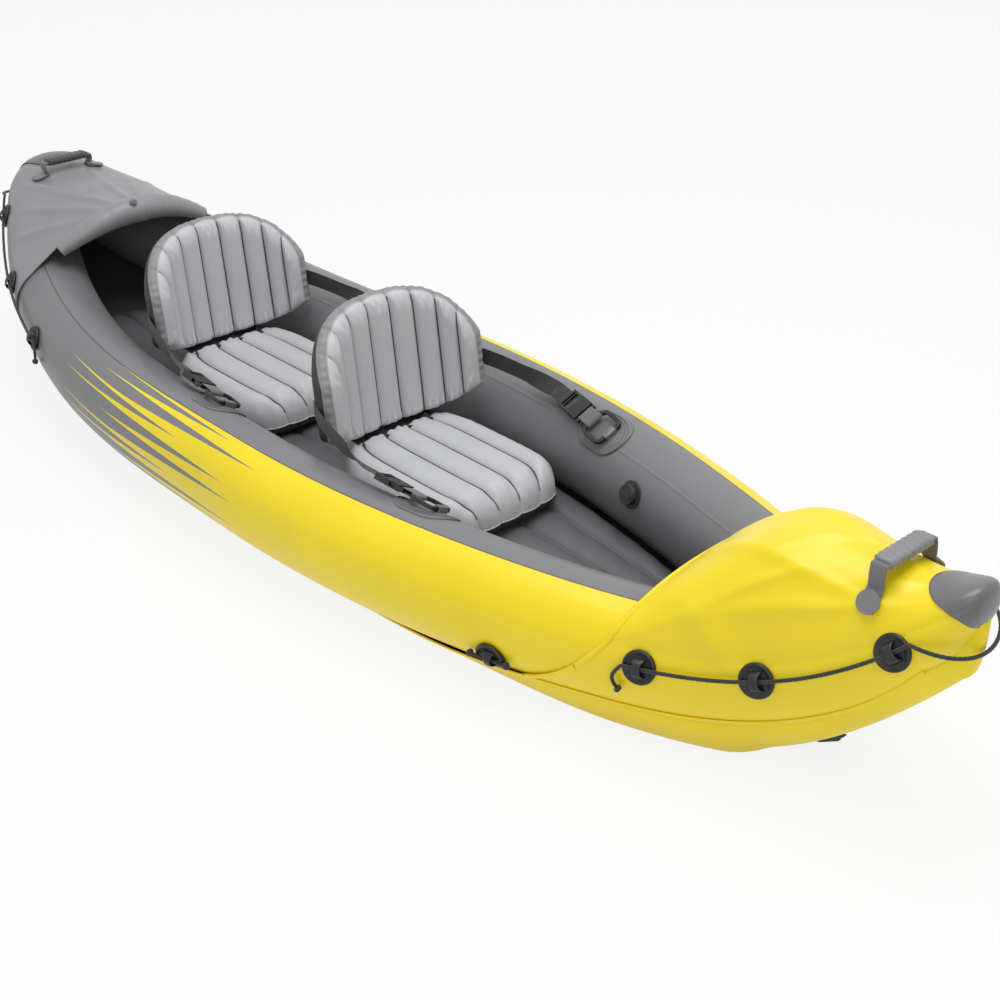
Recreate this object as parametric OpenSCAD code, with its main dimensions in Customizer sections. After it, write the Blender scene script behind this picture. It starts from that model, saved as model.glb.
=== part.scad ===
// Two-seat inflatable kayak. +X points to the bow, +Y to port, +Z up, millimetres.
// The middle frame is x = 0 and the flat bottom lies on z = 0.

/* [Hull] */
// Distance from the middle frame to the bow tip
bow_length = 1585; // [1500:5:1700]
// Distance from the middle frame to the stern tip
stern_length = 1585; // [1500:5:1700]
// Width over both side chambers
beam = 910; // [880:5:960]
// Width of an inflated side chamber
chamber_w = 224; // [210:2:234]
// Height of an inflated side chamber
chamber_h = 235; // [222:1:245]
// Height of the chambers' centre line amidships
chamber_z = 157; // [150:1:166]
// Share of the chambers' girth lost at the tips
end_taper = 0.17; // [0.1:0.01:0.25]
// Further share of the girth lost over the bow's last stretch
bow_fine = 0.25; // [0.15:0.01:0.3]
// Length of that last stretch
bow_fine_run = 165; // [140:5:200]
// Length of the rounded end of a chamber
nose_cap = 90; // [70:5:110]
// Length of the bow ahead of the point where the chambers meet
bow_solid = 120; // [100:5:150]
// Rise of the chambers at the bow tip
bow_rise = 290; // [270:5:320]
// Rise of the chambers at the stern tip
stern_rise = 275; // [250:5:300]
// Where the chambers start to rise towards the bow
bow_flat = 600; // [500:10:700]
// Where the chambers start to rise towards the stern
stern_flat = 300; // [200:10:400]
// Thickness of the bottom sheet
bottom_t = 3; // [2:0.5:4]
// Length of the raked forefoot below the bow
forefoot = 390; // [330:10:430]
// Height of the forefoot's upper end
stem_z = 296; // [260:2:310]

/* [Floor] */
// Thickness of the inflated floor
floor_t = 88; // [70:2:94]
// Number of lengthwise floor tubes
floor_tubes = 5; // [3:1:7]
// Gap between the floor and the chamber walls
floor_gap = 12; // [8:1:24]
// Distance from the middle frame to the floor's forward end
floor_fore = 1130; // [900:10:1160]
// Distance from the middle frame to the floor's after end
floor_aft = 1150; // [900:10:1200]

/* [Decks] */
// Thickness of the deck covers
deck_t = 2.5; // [2:0.5:4]
// Length of the bow deck along its middle
bow_deck_length = 550; // [480:10:580]
// How much further aft the sides of the bow deck reach
bow_deck_wing = 200; // [150:10:240]
// Height of the bow hood
bow_hood_z = 446; // [430:2:460]
// Length of the stern deck along its middle
stern_deck_length = 510; // [430:10:540]
// How much further aft the sides of the stern deck start
stern_deck_sweep = 90; // [60:10:140]
// Height of the stern hood at its forward edge
stern_hood_z = 462; // [440:2:476]
// Diameter of the roll under the bow deck's rear edge
roll_d = 50; // [40:2:54]
// Diameter of the stern visor
visor_d = 70; // [56:2:76]

/* [Seats] */
// Position of the front backrest's lower edge
seat_x = 60; // [0:5:120]
// Distance between the two seats
seat_spacing = 700; // [660:5:740]
// Length of a seat pad
pad_l = 385; // [340:5:420]
// Width of a seat pad
pad_w = 372; // [320:4:390]
// Thickness of a seat pad
pad_t = 106; // [80:2:120]
// Number of channels in a seat pad
pad_channels = 5; // [3:1:7]
// Width of a backrest over its wings
back_w = 448; // [400:4:452]
// Height of a backrest
back_h = 302; // [260:2:320]
// Thickness of a backrest
back_t = 62; // [48:2:70]
// Number of channels in a backrest
back_channels = 9; // [5:1:11]
// How far the wings reach forward
back_wrap = 100; // [70:5:110]

/* [Straps] */
// Width of the seat straps
strap_w = 40; // [30:1:44]
// Thickness of the webbing
strap_t = 2; // [1.5:0.1:2.4]
// Distance of a strap anchor ahead of the backrest's lower edge
anchor_ahead = 425; // [400:5:450]
// Length of an anchor ring
ring_l = 66; // [56:2:80]
// Diameter of an anchor ring's bar
ring_d = 8; // [6:0.5:9]
// Length of an anchor patch
anchor_patch_l = 150; // [120:2:170]
// Width of an anchor patch
anchor_patch_w = 104; // [80:2:110]

/* [Handles and lines] */
// Distance of the carry handles from the tips
handle_in = 165; // [150:5:180]
// Length of a handle grip
grip_l = 122; // [100:2:130]
// Width of the handle webbing
handle_web_w = 32; // [24:1:36]
// Height of a grip above the hood
grip_lift = 32; // [28:1:36]
// Diameter of the rivet discs
rivet_d = 42; // [34:1:46]
// Diameter of the grab lines
rope_d = 7; // [6:0.5:9]
// Diameter of an eyelet patch
eyelet_d = 64; // [56:2:72]

/* [Valves] */
// Diameter of a chamber valve's flange
valve_flange_d = 60; // [48:1:62]
// Diameter of a chamber valve's opening
valve_bore_d = 19; // [15:0.5:21]
// Diameter of a chamber valve's cap
valve_cap_d = 44; // [40:1:46]
// Diameter of the small plug valves
plug_valve_d = 22; // [18:1:24]

/* [Skeg] */
// Length of the skeg's base plate
skeg_base_l = 110; // [104:2:112]
// Width of the skeg's base plate
skeg_base_w = 84; // [60:2:96]
// Thickness of the skeg
skeg_t = 8; // [6:0.5:10]

/* [Hidden] */
$fn = 48;

yellow = [0.93, 0.85, 0.16];
dark_grey = [0.27, 0.27, 0.29];
mid_grey = [0.42, 0.42, 0.44];
pale_grey = [0.80, 0.80, 0.81];
black = [0.07, 0.07, 0.08];

// Clearances
touch = 0.3;
skin_gap = 2.5;
patch_gap = 0.6;
anchor_gap = 1.1;
eyelet_gap = 2.9;
rope_play = 2.05;
side_play = 1.2;
lap_gap = 2.9;
tip_gap = 2.2;
side_gap = 1;
slide_gap = 0.4;

// Shape exponents of the hull's lines
stern_fullness = 3.1;
bow_fullness = 2;
bow_curve = 5;
stern_curve = 2.8;
keel_curve = 1.5;
// Length over which the chambers blend where they meet
meet_blend = 30;

half_gap = touch / 2;
squash_k = chamber_h / chamber_w;
chamber_y = (beam - chamber_w) / 2;
bow_meet = bow_length - bow_solid;
skin_out = skin_gap + deck_t;
tip_back = 6;

// Hull lines: half breadth, height and radius of a chamber's centre line at station x
function end_length(x) = x < 0 ? stern_length : bow_length;
function stern_y(x) = chamber_y * (1 - pow(-x / stern_length, stern_fullness));
function soft(v, blend) = (v + sqrt(v * v + blend * blend)) / 2;
function bow_y(x) =
    chamber_y * soft(chamber_y * (1 - pow(x / bow_meet, bow_fullness)), meet_blend) / soft(chamber_y, meet_blend);
function line_y(x) = x < 0 ? max(0, stern_y(x)) : bow_y(x);
function beyond(x, flat, total) = max(0, (abs(x) - flat) / (total - flat));
function rise(x) = x < 0 ? stern_rise * pow(beyond(x, stern_flat, stern_length), stern_curve)
    : bow_rise * pow(beyond(x, bow_flat, bow_length), bow_curve);
function line_z(x) = chamber_z + rise(x);
function fined(x) = 1 - bow_fine * ramp((x - bow_length + bow_fine_run) / bow_fine_run);
function full_r(x) = chamber_w / 2 * (1 - end_taper * pow(abs(x) / end_length(x), 4)) * fined(x);
function closing(x, stop) = sqrt(max(0, 1 - pow(max(0, (abs(x) - stop + nose_cap) / nose_cap), 2)));
function chamber_r(x) = full_r(x) * closing(x, end_length(x) - skin_out - tip_back);
function cover_r(x) = full_r(x) * closing(x, end_length(x));

// Point on a chamber at station x and angle a from the top, outwards, at a distance off its skin
function round_point(x, a, r, off) =
    [x, line_y(x) + (r + off) * sin(a), line_z(x) + (squash_k * r + off) * cos(a)];
function hull_point(x, a, off = 0) = round_point(x, a, cover_r(x), off);
function port_only(p) = [p[0], max(p[1], half_gap), p[2]];
function line_dir(x) = unit(hull_point(x + 1, 0) - hull_point(x - 1, 0));

// Vectors and lists
function unit(v) = v / norm(v);
function mix(a, b, t) = a + (b - a) * t;
function ramp(t) = t <= 0 ? 0 : t >= 1 ? 1 : t * t * (3 - 2 * t);
function flat(list) = [for (row = list) each row];
function turned(v) = [v[0], -v[1], v[2]];
function bezier(a, b, c, t) = mix(mix(a, b, t), mix(b, c, t), t);

// Faces of a grid of m rows and n columns whose points start at index k
function grid_faces(m, n, k, turn) = [
    for (i = [0:m - 2], j = [0:n - 2])
        let (a = k + i * n + j, b = a + 1, c = a + n + 1, d = a + n)
        each turn ? [[a, b, c], [a, c, d]] : [[a, c, b], [a, d, c]]
];
// Strips that join the borders of two grids of the same size
function border(m, n) = concat(
    [for (j = [0:n - 2]) j],
    [for (i = [0:m - 2]) i * n + n - 1],
    [for (j = [n - 1:-1:1]) (m - 1) * n + j],
    [for (i = [m - 1:-1:1]) i * n]
);
function rim_faces(loop, k, turn) = [
    for (i = [0:len(loop) - 1])
        let (a = loop[i], b = loop[(i + 1) % len(loop)])
        each turn ? [[a, a + k, b + k], [a, b + k, b]] : [[a, b + k, a + k], [a, b, b + k]]
];

// Closed sheet between two grids of points
module sheet(outer, inner, turn = false) {
    m = len(outer);
    n = len(outer[0]);
    polyhedron(
        concat(flat(outer), flat(inner)),
        concat(grid_faces(m, n, 0, turn), grid_faces(m, n, m * n, !turn),
            rim_faces(border(m, n), m * n, turn))
    );
}

// Solid through closed rings of points
module loft(rings) {
    m = len(rings);
    n = len(rings[0]);
    sides = [
        for (i = [0:m - 2], j = [0:n - 1])
            let (a = i * n + j, b = i * n + (j + 1) % n)
            each [[a, b, b + n], [a, b + n, a + n]]
    ];
    caps = [[for (j = [n - 1:-1:0]) j], [for (j = [0:n - 1]) (m - 1) * n + j]];
    polyhedron(flat(rings), concat(sides, caps));
}

// Round tube through a list of points
function tube_ring(p, d, r, sides) =
    let (side = unit(cross(d, abs(d[2]) > 0.9 ? [1, 0, 0] : [0, 0, 1])), up = cross(side, d))
    [for (k = [0:sides - 1]) p + r * (cos(-360 * k / sides) * side + sin(-360 * k / sides) * up)];
function path_dir(path, i) = unit(path[min(i + 1, len(path) - 1)] - path[max(i - 1, 0)]);
module tube(path, radii, sides = 8) {
    loft([for (i = [0:len(path) - 1]) tube_ring(path[i], path_dir(path, i), radii[i], sides)]);
}

// Flat ribbon through centre points with a width direction at each
module ribbon(path, wides, w, t) {
    loft([
        for (i = [0:len(path) - 1])
            let (n = unit(cross(path_dir(path, i), wides[i])), s = unit(wides[i]) * w / 2, h = n * t / 2)
            [path[i] + s + h, path[i] - s + h, path[i] - s - h, path[i] + s - h]
    ]);
}

// Places children on the hull's skin: local x along the chamber, local z straight out
module on_hull(x, a, off = 0) {
    d = line_dir(x);
    translate(hull_point(x, a, off)) rotate([-a, -asin(d[2]), atan2(d[1], d[0])]) children();
}
module both_sides() {
    children();
    mirror([0, 1, 0]) children();
}

// Flat outline with round ends, for patches and loops
module oval(l, w) {
    square([l - w, w], center = true);
    translate([(l - w) / 2, 0]) circle(d = w);
    translate([-(l - w) / 2, 0]) circle(d = w);
}

// Plate of a flat outline bent round a chamber of radius r
module bent_plate(r, t) {
    intersection() {
        translate([0, 0, -r]) linear_extrude(r * 2) children();
        translate([0, 0, -r]) rotate([0, 90, 0]) difference() {
            cylinder(r = r + t, h = r * 4, center = true);
            cylinder(r = r, h = r * 4 + 2, center = true);
        }
    }
}

// Side chambers
chamber_steps = 38;
chamber_sides = 24;
chamber_mid = (bow_length - stern_length) / 2;
chamber_half = (bow_length + stern_length) / 2 - skin_out - tip_back - 1;
module chamber() {
    loft([
        for (i = [0:chamber_steps])
            let (x = chamber_mid + chamber_half * sin(180 * i / chamber_steps - 90))
            [for (k = [0:chamber_sides - 1])
                port_only(round_point(x, 360 * k / chamber_sides, chamber_r(x), 0))]
    ]);
}
module port_chamber() {
    color(yellow) chamber();
}
module starboard_chamber() {
    color(yellow) mirror([0, 1, 0]) chamber();
}

// Hull bottom: flat keel strip, then a curve up to a flange on each chamber's flank
foot_x = bow_length - forefoot;
stem_x = bow_length - tip_back - 17;
stem_top = line_z(bow_length) - 26;
flange_mid = 165;
flange_bow = 124;
flange_stern = 140;
keel_in = 100;
keel_out = 20;
keel_min = 4;
fuller_from = 300;
fuller_to = 1000;
flange_off = skin_out + lap_gap;
function raked(x) = stem_z * pow(max(0, x - foot_x) / (stem_x - foot_x), keel_curve);
function stem_arc(x) = 1 - sqrt(max(0, 1 - pow((x - stem_x) / (bow_length - stem_x), 2)));
function keel_z(x) = x < 0 ? rise(x) : x < stem_x ? raked(x) : mix(stem_z, stem_top, stem_arc(x));
// The flat of the bottom ends in a rounded nose ahead of the floor
flat_nose = 585;
flat_nose_l = 250;
function flat_end(x) = sqrt(max(0, 1 - pow(max(0, x - bow_length + flat_nose) / flat_nose_l, 2)));
function keel_y(x) = max(keel_min, (line_y(x) + (x < 0 ? -keel_in
    : mix(-keel_in, keel_out, ramp((x - fuller_from) / (fuller_to - fuller_from))))) * flat_end(x));
function flange_a(x) = mix(flange_mid, x < 0 ? flange_stern : flange_bow,
    ramp((abs(x) - fuller_from) / (fuller_to - fuller_from)));
// Curve of the bottom's sides: hollower at the bow
side_curve = 2;
bow_side_curve = 3.3;
hollow_run = 250;
function flare(x) = mix(side_curve, bow_side_curve, ramp((x - bow_length + flat_nose) / hollow_run));
function bottom_point(x, u, t) =
    let (w = max(0, abs(u) * 2 - 1), f = hull_point(x, flange_a(x), flange_off + bottom_t - t), y = keel_y(x),
        side = u < 0 ? -1 : 1, z = keel_z(x) + t)
    abs(u) <= 0.5 ? [x, 2 * u * y, z] : [x, side * mix(y, f[1], w), mix(z, f[2], pow(w, flare(x)))];
bottom_steps = 34;
bottom_cols = 10;
bottom_half = (bow_length + stern_length) / 2 - 2;
function bottom_grid(t) = [
    for (i = [0:bottom_steps])
        let (x = chamber_mid + bottom_half * sin(180 * i / bottom_steps - 90))
        [for (j = [0:bottom_cols]) bottom_point(x, 2 * j / bottom_cols - 1, t)]
];
module hull_bottom() {
    color(yellow) sheet(bottom_grid(0), bottom_grid(bottom_t));
}

// Inflated floor: lengthwise tubes side by side
lobe_depth = 13;
floor_lift = 2;
floor_steps = 16;
lobe_cols = 4;
floor_z = bottom_t + floor_lift;
floor_inset = chamber_w / 2 * sin(acos((chamber_z - floor_z - floor_t) / (chamber_h / 2))) + floor_gap;
function lobe(v, n) = let (f = (v + 1) / 2 * n, c = 2 * (f - floor(f)) - 1) sqrt(max(0, 1 - c * c));
function floor_y(x) = line_y(x) - floor_inset;
function floor_full(x) =
    let (s = 2 * (x + floor_aft) / (floor_fore + floor_aft) - 1)
    0.25 + 0.75 * sqrt(max(0, 1 - pow(abs(s), 8)));
function floor_top(x) = keel_z(x) + floor_z + floor_t * floor_full(x);
function floor_grid(top) = [
    for (i = [0:floor_steps])
        let (x = mix(-floor_aft, floor_fore, i / floor_steps))
        [for (j = [0:floor_tubes * lobe_cols])
            let (v = 2 * j / (floor_tubes * lobe_cols) - 1,
                h = floor_t * floor_full(x) - lobe_depth * (1 - lobe(v * 0.9999, floor_tubes)))
            [x, v * max(floor_y(x), 20), keel_z(x) + floor_z + (top ? h : 0)]]
];
module inflatable_floor() {
    color(dark_grey) sheet(floor_grid(true), floor_grid(false), true);
}

// Deck covers: round over the chambers' flanks, then a hood up to the ridge
deck_low_a = 130;
hood_run = 240;
hood_blend = 24;
hood_fall = 130;
hood_dip = 0.04;
stern_hood_climb = 0.03;
bow_crest_back = 300;
bow_crest = bow_length - bow_crest_back;
// Where the hood leaves the chambers, in degrees from their top, and how far its sides lean
bow_hood_a = 60;
arch_hood_a = 38;
stern_hood_a = 60;
bow_lean = 12;
lean_run = 300;
function hood_z(x) = x > 0
    ? bow_hood_z - hood_fall * pow(max(0, bow_crest - x) / hood_run, 2) - hood_dip * max(0, x - bow_crest)
    : stern_hood_z + stern_hood_climb * (-x - stern_length + stern_deck_length);
function ridge_z(x, off) =
    let (top = line_z(x) + squash_k * cover_r(x) + off, bare = line_z(x) + squash_k * full_r(x) + off)
    top + soft(hood_z(x) + off - bare, hood_blend) * pow(closing(x, end_length(x)), 2);
function hood_a(x) = x > 0 ? bow_hood_a
    : mix(arch_hood_a, stern_hood_a, ramp((-x - stern_length + stern_deck_length) / lean_run));
function hood_lean(x) = x > 0 ? bow_lean : 90 - hood_a(x);
function hood_curve(x, t, off) =
    let (p = hull_point(x, hood_a(x), off), z = ridge_z(x, off),
        c = [x, max(0, p[1] - (z - p[2]) * tan(hood_lean(x))), z])
    bezier([x, 0, z], c, p, t);
function deck_section(x, q, off) =
    let (u = abs(q), p = u <= 0.5 ? hood_curve(x, 2 * u, off)
        : hull_point(x, mix(hood_a(x), deck_low_a, 2 * u - 1), off))
    q < 0 ? turned(p) : p;
bow_edge_curve = 3;
stern_edge_curve = 1.6;
function deck_edge(dir, q) = dir > 0
    ? bow_length - bow_deck_length - bow_deck_wing * pow(abs(q), bow_edge_curve)
    : stern_length - stern_deck_length + stern_deck_sweep * pow(abs(q), stern_edge_curve);
patch_side = 0.8;
deck_rows = 14;
deck_cols = 20;
function deck_grid(dir, from, off, rows, cols) = [
    for (i = [0:rows])
        [for (j = [0:cols])
            let (q = (from == 0 ? 1 : patch_side) * (2 * j / cols - 1),
                a = from == 0 ? deck_edge(dir, q) : end_length(dir) - from * (1.15 - abs(q)),
                x = mix(a, end_length(dir) - tip_back + off - skin_gap, sin(90 * i / rows)))
            deck_section(dir * x, q, off)]
];
// Closed cover: like a sheet, but both skins are closed across the tip
module cover(outer, inner, turn) {
    m = len(outer);
    n = len(outer[0]);
    k = m * n;
    open_rim = concat([for (i = [m - 1:-1:1]) i * n], [for (j = [0:n - 1]) j],
        [for (i = [1:m - 1]) i * n + n - 1]);
    strips = [
        for (i = [0:len(open_rim) - 2])
            let (a = open_rim[i], b = open_rim[i + 1])
            each turn ? [[a, a + k, b + k], [a, b + k, b]] : [[a, b + k, a + k], [a, b, b + k]]
    ];
    last = (m - 1) * n;
    slot = [[last, last + k, last + n - 1 + k], [last, last + n - 1 + k, last + n - 1]];
    tip = [for (j = [n - 1:-1:0]) last + j];
    under = [for (j = [0:n - 1]) last + k + j];
    polyhedron(concat(flat(outer), flat(inner)), concat(
        grid_faces(m, n, 0, turn), grid_faces(m, n, k, !turn), strips,
        turn ? [for (f = slot) [f[2], f[1], f[0]]] : slot,
        turn ? [[for (j = [0:n - 1]) last + j], [for (j = [n - 1:-1:0]) last + k + j]] : [tip, under]
    ));
}
module bow_deck() {
    color(yellow) cover(deck_grid(1, 0, skin_out, deck_rows, deck_cols),
        deck_grid(1, 0, skin_gap, deck_rows, deck_cols), false);
}
module stern_deck() {
    color(dark_grey) cover(deck_grid(-1, 0, skin_out, deck_rows, deck_cols),
        deck_grid(-1, 0, skin_gap, deck_rows, deck_cols), true);
}

// Round patches over the tips
patch_reach = 80;
patch_in = skin_out + tip_gap;
module nose_patch() {
    color(mid_grey) cover(deck_grid(1, patch_reach, patch_in + deck_t, 7, 20),
        deck_grid(1, patch_reach, patch_in, 7, 20), false);
}
module stern_patch() {
    color(mid_grey) cover(deck_grid(-1, patch_reach, patch_in + deck_t, 7, 20),
        deck_grid(-1, patch_reach, patch_in, 7, 20), true);
}

// Inflated roll that stiffens the bow deck's rear edge
roll_end = 0.25;
roll_steps = 18;
roll_in = 4;
roll_gap = 4.8;
function roll_r(q) = roll_d / 2 * (1 - 0.62 * pow(abs(q) / roll_end, 2));
function deck_normal(x, q) = unit(cross(deck_section(x + 2, q, 0) - deck_section(x - 2, q, 0),
    deck_section(x, q + 0.01, 0) - deck_section(x, q - 0.01, 0)));
function roll_point(q) =
    let (x = deck_edge(1, q) + roll_d / 2 + roll_in)
    deck_section(x, q, skin_gap) - deck_normal(x, q) * (roll_r(q) + roll_gap);
module bow_roll() {
    qs = [for (i = [0:roll_steps]) roll_end * (2 * i / roll_steps - 1)];
    color(yellow) tube([for (q = qs) roll_point(q)], [for (q = qs) roll_r(q)], 10);
}

// Inflated arch along the stern deck's forward edge, standing on the chambers
visor_foot_d = 36;
visor_end = 0.38;
visor_steps = 24;
visor_drop = 12;
function visor_r(q) = mix(visor_d, visor_foot_d, pow(abs(q) / visor_end, 2)) / 2;
function visor_point(q) =
    deck_section(-deck_edge(-1, q), q, skin_gap)
    + [visor_r(q) + touch, 0, -visor_drop * (1 - abs(q) / visor_end)];
module stern_visor() {
    qs = [for (i = [0:visor_steps]) visor_end * (1 - 2 * i / visor_steps)];
    color(dark_grey) tube([for (q = qs) visor_point(q)], [for (q = qs) visor_r(q)], 12);
}

// Eyelets: a round saddle with a bridge that the line passes through
eyelet_a = 75;
eyelet_t = 3;
bridge_l = 18;
bridge_w = 34;
bow_eyelet_back = [500, 303, 102];
stern_eyelet_back = [650, 395, 145];
bow_eyelet_x = [for (b = bow_eyelet_back) bow_length - b];
stern_eyelet_x = [for (b = stern_eyelet_back) stern_length - b];
// The first stern eyelet lies on the bare chamber, the others on the deck's flank
bare_to = stern_eyelet_x[0] + eyelet_d / 2;
deck_from = stern_eyelet_x[1] - eyelet_d / 2;
function flank_off(dir, x) =
    dir > 0 ? skin_out : mix(side_gap, skin_out, ramp((x - bare_to) / (deck_from - bare_to)));
bore_d = rope_d + 2 * rope_play;
rope_lift = eyelet_t + bore_d / 2 + 0.3;
bridge_wall = 2.5;
// A short foot under the plate is welded to the skin
foot_d = 14;
// The plate bends a little less than the skin, so that its rim stays clear
plate_ease = 1.65;
foot_gap = 0.7;
side_seat = 1.7;
function skin_tilt(x) = atan((cover_r(x - 1) - cover_r(x + 1)) / 2);
module eyelet(x, a, off, play = rope_play) {
    r = plate_ease * (cover_r(x) + off + eyelet_gap);
    foot_h = eyelet_gap - foot_gap + (off < skin_out ? side_seat : 0);
    on_hull(x, a, off + eyelet_gap) rotate([0, skin_tilt(x), 0]) difference() {
        union() {
            bent_plate(r, eyelet_t) circle(d = eyelet_d);
            translate([0, 0, -foot_h]) cylinder(d = foot_d, h = foot_h + eyelet_t - 1);
            translate([-bridge_l / 2, -bridge_w / 2, eyelet_t - 1])
                cube([bridge_l, bridge_w, rope_lift + bore_d / 2 + bridge_wall - eyelet_t + 1]);
        }
        translate([0, 0, rope_lift]) rotate([0, 90, 0])
            cylinder(d = rope_d + 2 * play, h = eyelet_d, center = true);
    }
}
module bow_eyelets() {
    color(black) both_sides() for (x = bow_eyelet_x) eyelet(x, eyelet_a, skin_out);
}
module stern_eyelets() {
    color(black) both_sides() for (x = stern_eyelet_x) eyelet(-x, eyelet_a, flank_off(-1, x));
}

// Grab lines: along the flank through the eyelets, round the tip, with a hanging loop at each end
function rope_point(dir, x, a) = hull_point(dir * x, a, flank_off(dir, x) + eyelet_gap + rope_lift);
tail = 26;
loop_drop = 23;
teardrop_l = 14;
loop_steps = 7;
run_steps = 14;
turn_steps = 9;
turn_in = 75;
turn_drop = 18;
function tip_point(dir) = [dir * (end_length(dir) + rope_d / 2 + touch), 0,
    hull_point(dir * (end_length(dir) - turn_in), eyelet_a, 0)[2] - turn_drop];
function rope_half(dir, from) =
    let (last = end_length(dir) - turn_in, a = rope_point(dir, last, eyelet_a), t = tip_point(dir))
    concat(
        [for (i = [loop_steps:-1:0])
            let (k = i / loop_steps)
            rope_point(dir, from - tail - teardrop_l * sin(180 * k), eyelet_a + loop_drop * k)],
        [for (i = [1:run_steps]) rope_point(dir, mix(from - tail, last, i / run_steps), eyelet_a)],
        [for (i = [1:turn_steps])
            let (g = 90 * i / turn_steps)
            [mix(a[0], t[0], sin(g)), a[1] * cos(g), mix(a[2], t[2], ramp(i / turn_steps))]]
    );
module grab_line(dir, from) {
    half = rope_half(dir, from);
    path = concat(half, [for (i = [len(half) - 2:-1:0]) turned(half[i])]);
    tube(path, [for (p = path) rope_d / 2], 8);
}
module bow_grab_line() {
    color(black) grab_line(1, bow_eyelet_x[0]);
}
module stern_grab_line() {
    color(black) grab_line(-1, stern_eyelet_x[0]);
}

// Side lashings just aft of the bow deck's wings
side_back = 800;
side_x = bow_length - side_back;
side_a = 114;
lashing_l = 92;
module side_eyelets() {
    color(black) both_sides() eyelet(side_x, side_a, side_gap, side_play);
}
module side_lashings() {
    path = [for (i = [0:6])
        hull_point(side_x + lashing_l * (i / 6 - 0.5), side_a, side_gap + eyelet_gap + rope_lift)];
    color(black) both_sides() tube(path, [for (p = path) rope_d / 2], 8);
}

// Strap anchors on the chambers' inner shoulders
anchor_a = -30;
seat_xs = [seat_x, seat_x - seat_spacing];
ring_turn = 16;
ring_w = strap_w + 2 * ring_turn + 4;
ring_off = anchor_gap + deck_t + ring_d / 2 + 2 * touch;
module anchor_patches() {
    color(mid_grey) both_sides() for (sx = seat_xs) {
        on_hull(sx + anchor_ahead, anchor_a, anchor_gap)
            bent_plate(chamber_r(sx + anchor_ahead) + anchor_gap, deck_t)
                oval(anchor_patch_l, anchor_patch_w);
        on_strap(sx) ring_keeper();
    }
}
// Strap line: from the ring's after bar towards the backrest's wing
bar_back = ring_l - ring_d;
strap_rise = 8;
bar_lift = bar_back * sin(strap_rise);
function bar_point(sx) = hull_point(sx + anchor_ahead - bar_back / 2, anchor_a, ring_off + bar_lift);
function strap_yaw(sx) = let (d = line_dir(sx + anchor_ahead)) 180 + atan2(d[1], d[0]);
module on_strap(sx) {
    translate(bar_point(sx)) rotate([anchor_a, -strap_rise, strap_yaw(sx)]) children();
}
function spin_z(v, a) = [v[0] * cos(a) - v[1] * sin(a), v[0] * sin(a) + v[1] * cos(a), v[2]];
function spin_y(v, a) = [v[0] * cos(a) + v[2] * sin(a), v[1], v[2] * cos(a) - v[0] * sin(a)];
function spin_x(v, a) = [v[0], v[1] * cos(a) - v[2] * sin(a), v[1] * sin(a) + v[2] * cos(a)];
function strap_vec(sx, v) = spin_z(spin_y(spin_x(v, anchor_a), -strap_rise), strap_yaw(sx));
function strap_point(sx, v) = bar_point(sx) + strap_vec(sx, v);

// Rounded ring whose after bar carries the webbing loop
module rounded(l, w, r) {
    square([l - 2 * r, w], center = true);
    square([l, w - 2 * r], center = true);
    for (i = [-1, 1], j = [-1, 1]) translate([i * (l / 2 - r), j * (w / 2 - r)]) circle(r = r);
}
module anchor_ring() {
    translate([-bar_back / 2, 0, 0]) linear_extrude(ring_d, center = true) difference() {
        rounded(ring_l, ring_w, ring_turn);
        rounded(ring_l - 2 * ring_d, ring_w - 2 * ring_d, ring_turn - ring_d);
        translate([ring_l / 2, 0]) square([2 * ring_d, ring_w - 2 * ring_turn], center = true);
    }
    rotate([90, 0, 0]) cylinder(d = ring_d, h = ring_w - 2 * ring_turn + 1, center = true);
}
// Tab on the patch that holds the ring's forward bar
keeper_w = 30;
keeper_t = 3;
module ring_keeper() {
    slot = ring_d + 2 * touch;
    translate([-bar_back, 0, 0]) difference() {
        translate([-slot / 2 - keeper_t, -keeper_w / 2, -ring_d / 2 - 2])
            cube([slot + 2 * keeper_t, keeper_w, ring_d + 2 + keeper_t]);
        translate([-slot / 2, -keeper_w, -slot / 2]) cube([slot, 2 * keeper_w, slot]);
    }
}
module anchor_rings() {
    color(mid_grey) both_sides() for (sx = seat_xs) on_strap(sx) anchor_ring();
}

// Short webbing loop from the ring's bar to the socket's bar
loop_r = ring_d / 2 + touch;
loop_l = 30;
socket_bar_d = ring_d;
module webbing_loop() {
    rotate([90, 0, 0]) linear_extrude(strap_w, center = true) difference() {
        translate([loop_l / 2, 0]) oval(loop_l + 2 * (loop_r + strap_t), 2 * (loop_r + strap_t));
        translate([loop_l / 2, 0]) oval(loop_l + 2 * loop_r, 2 * loop_r);
    }
}
module anchor_webbing() {
    color(mid_grey) both_sides() for (sx = seat_xs) on_strap(sx) webbing_loop();
}

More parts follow.
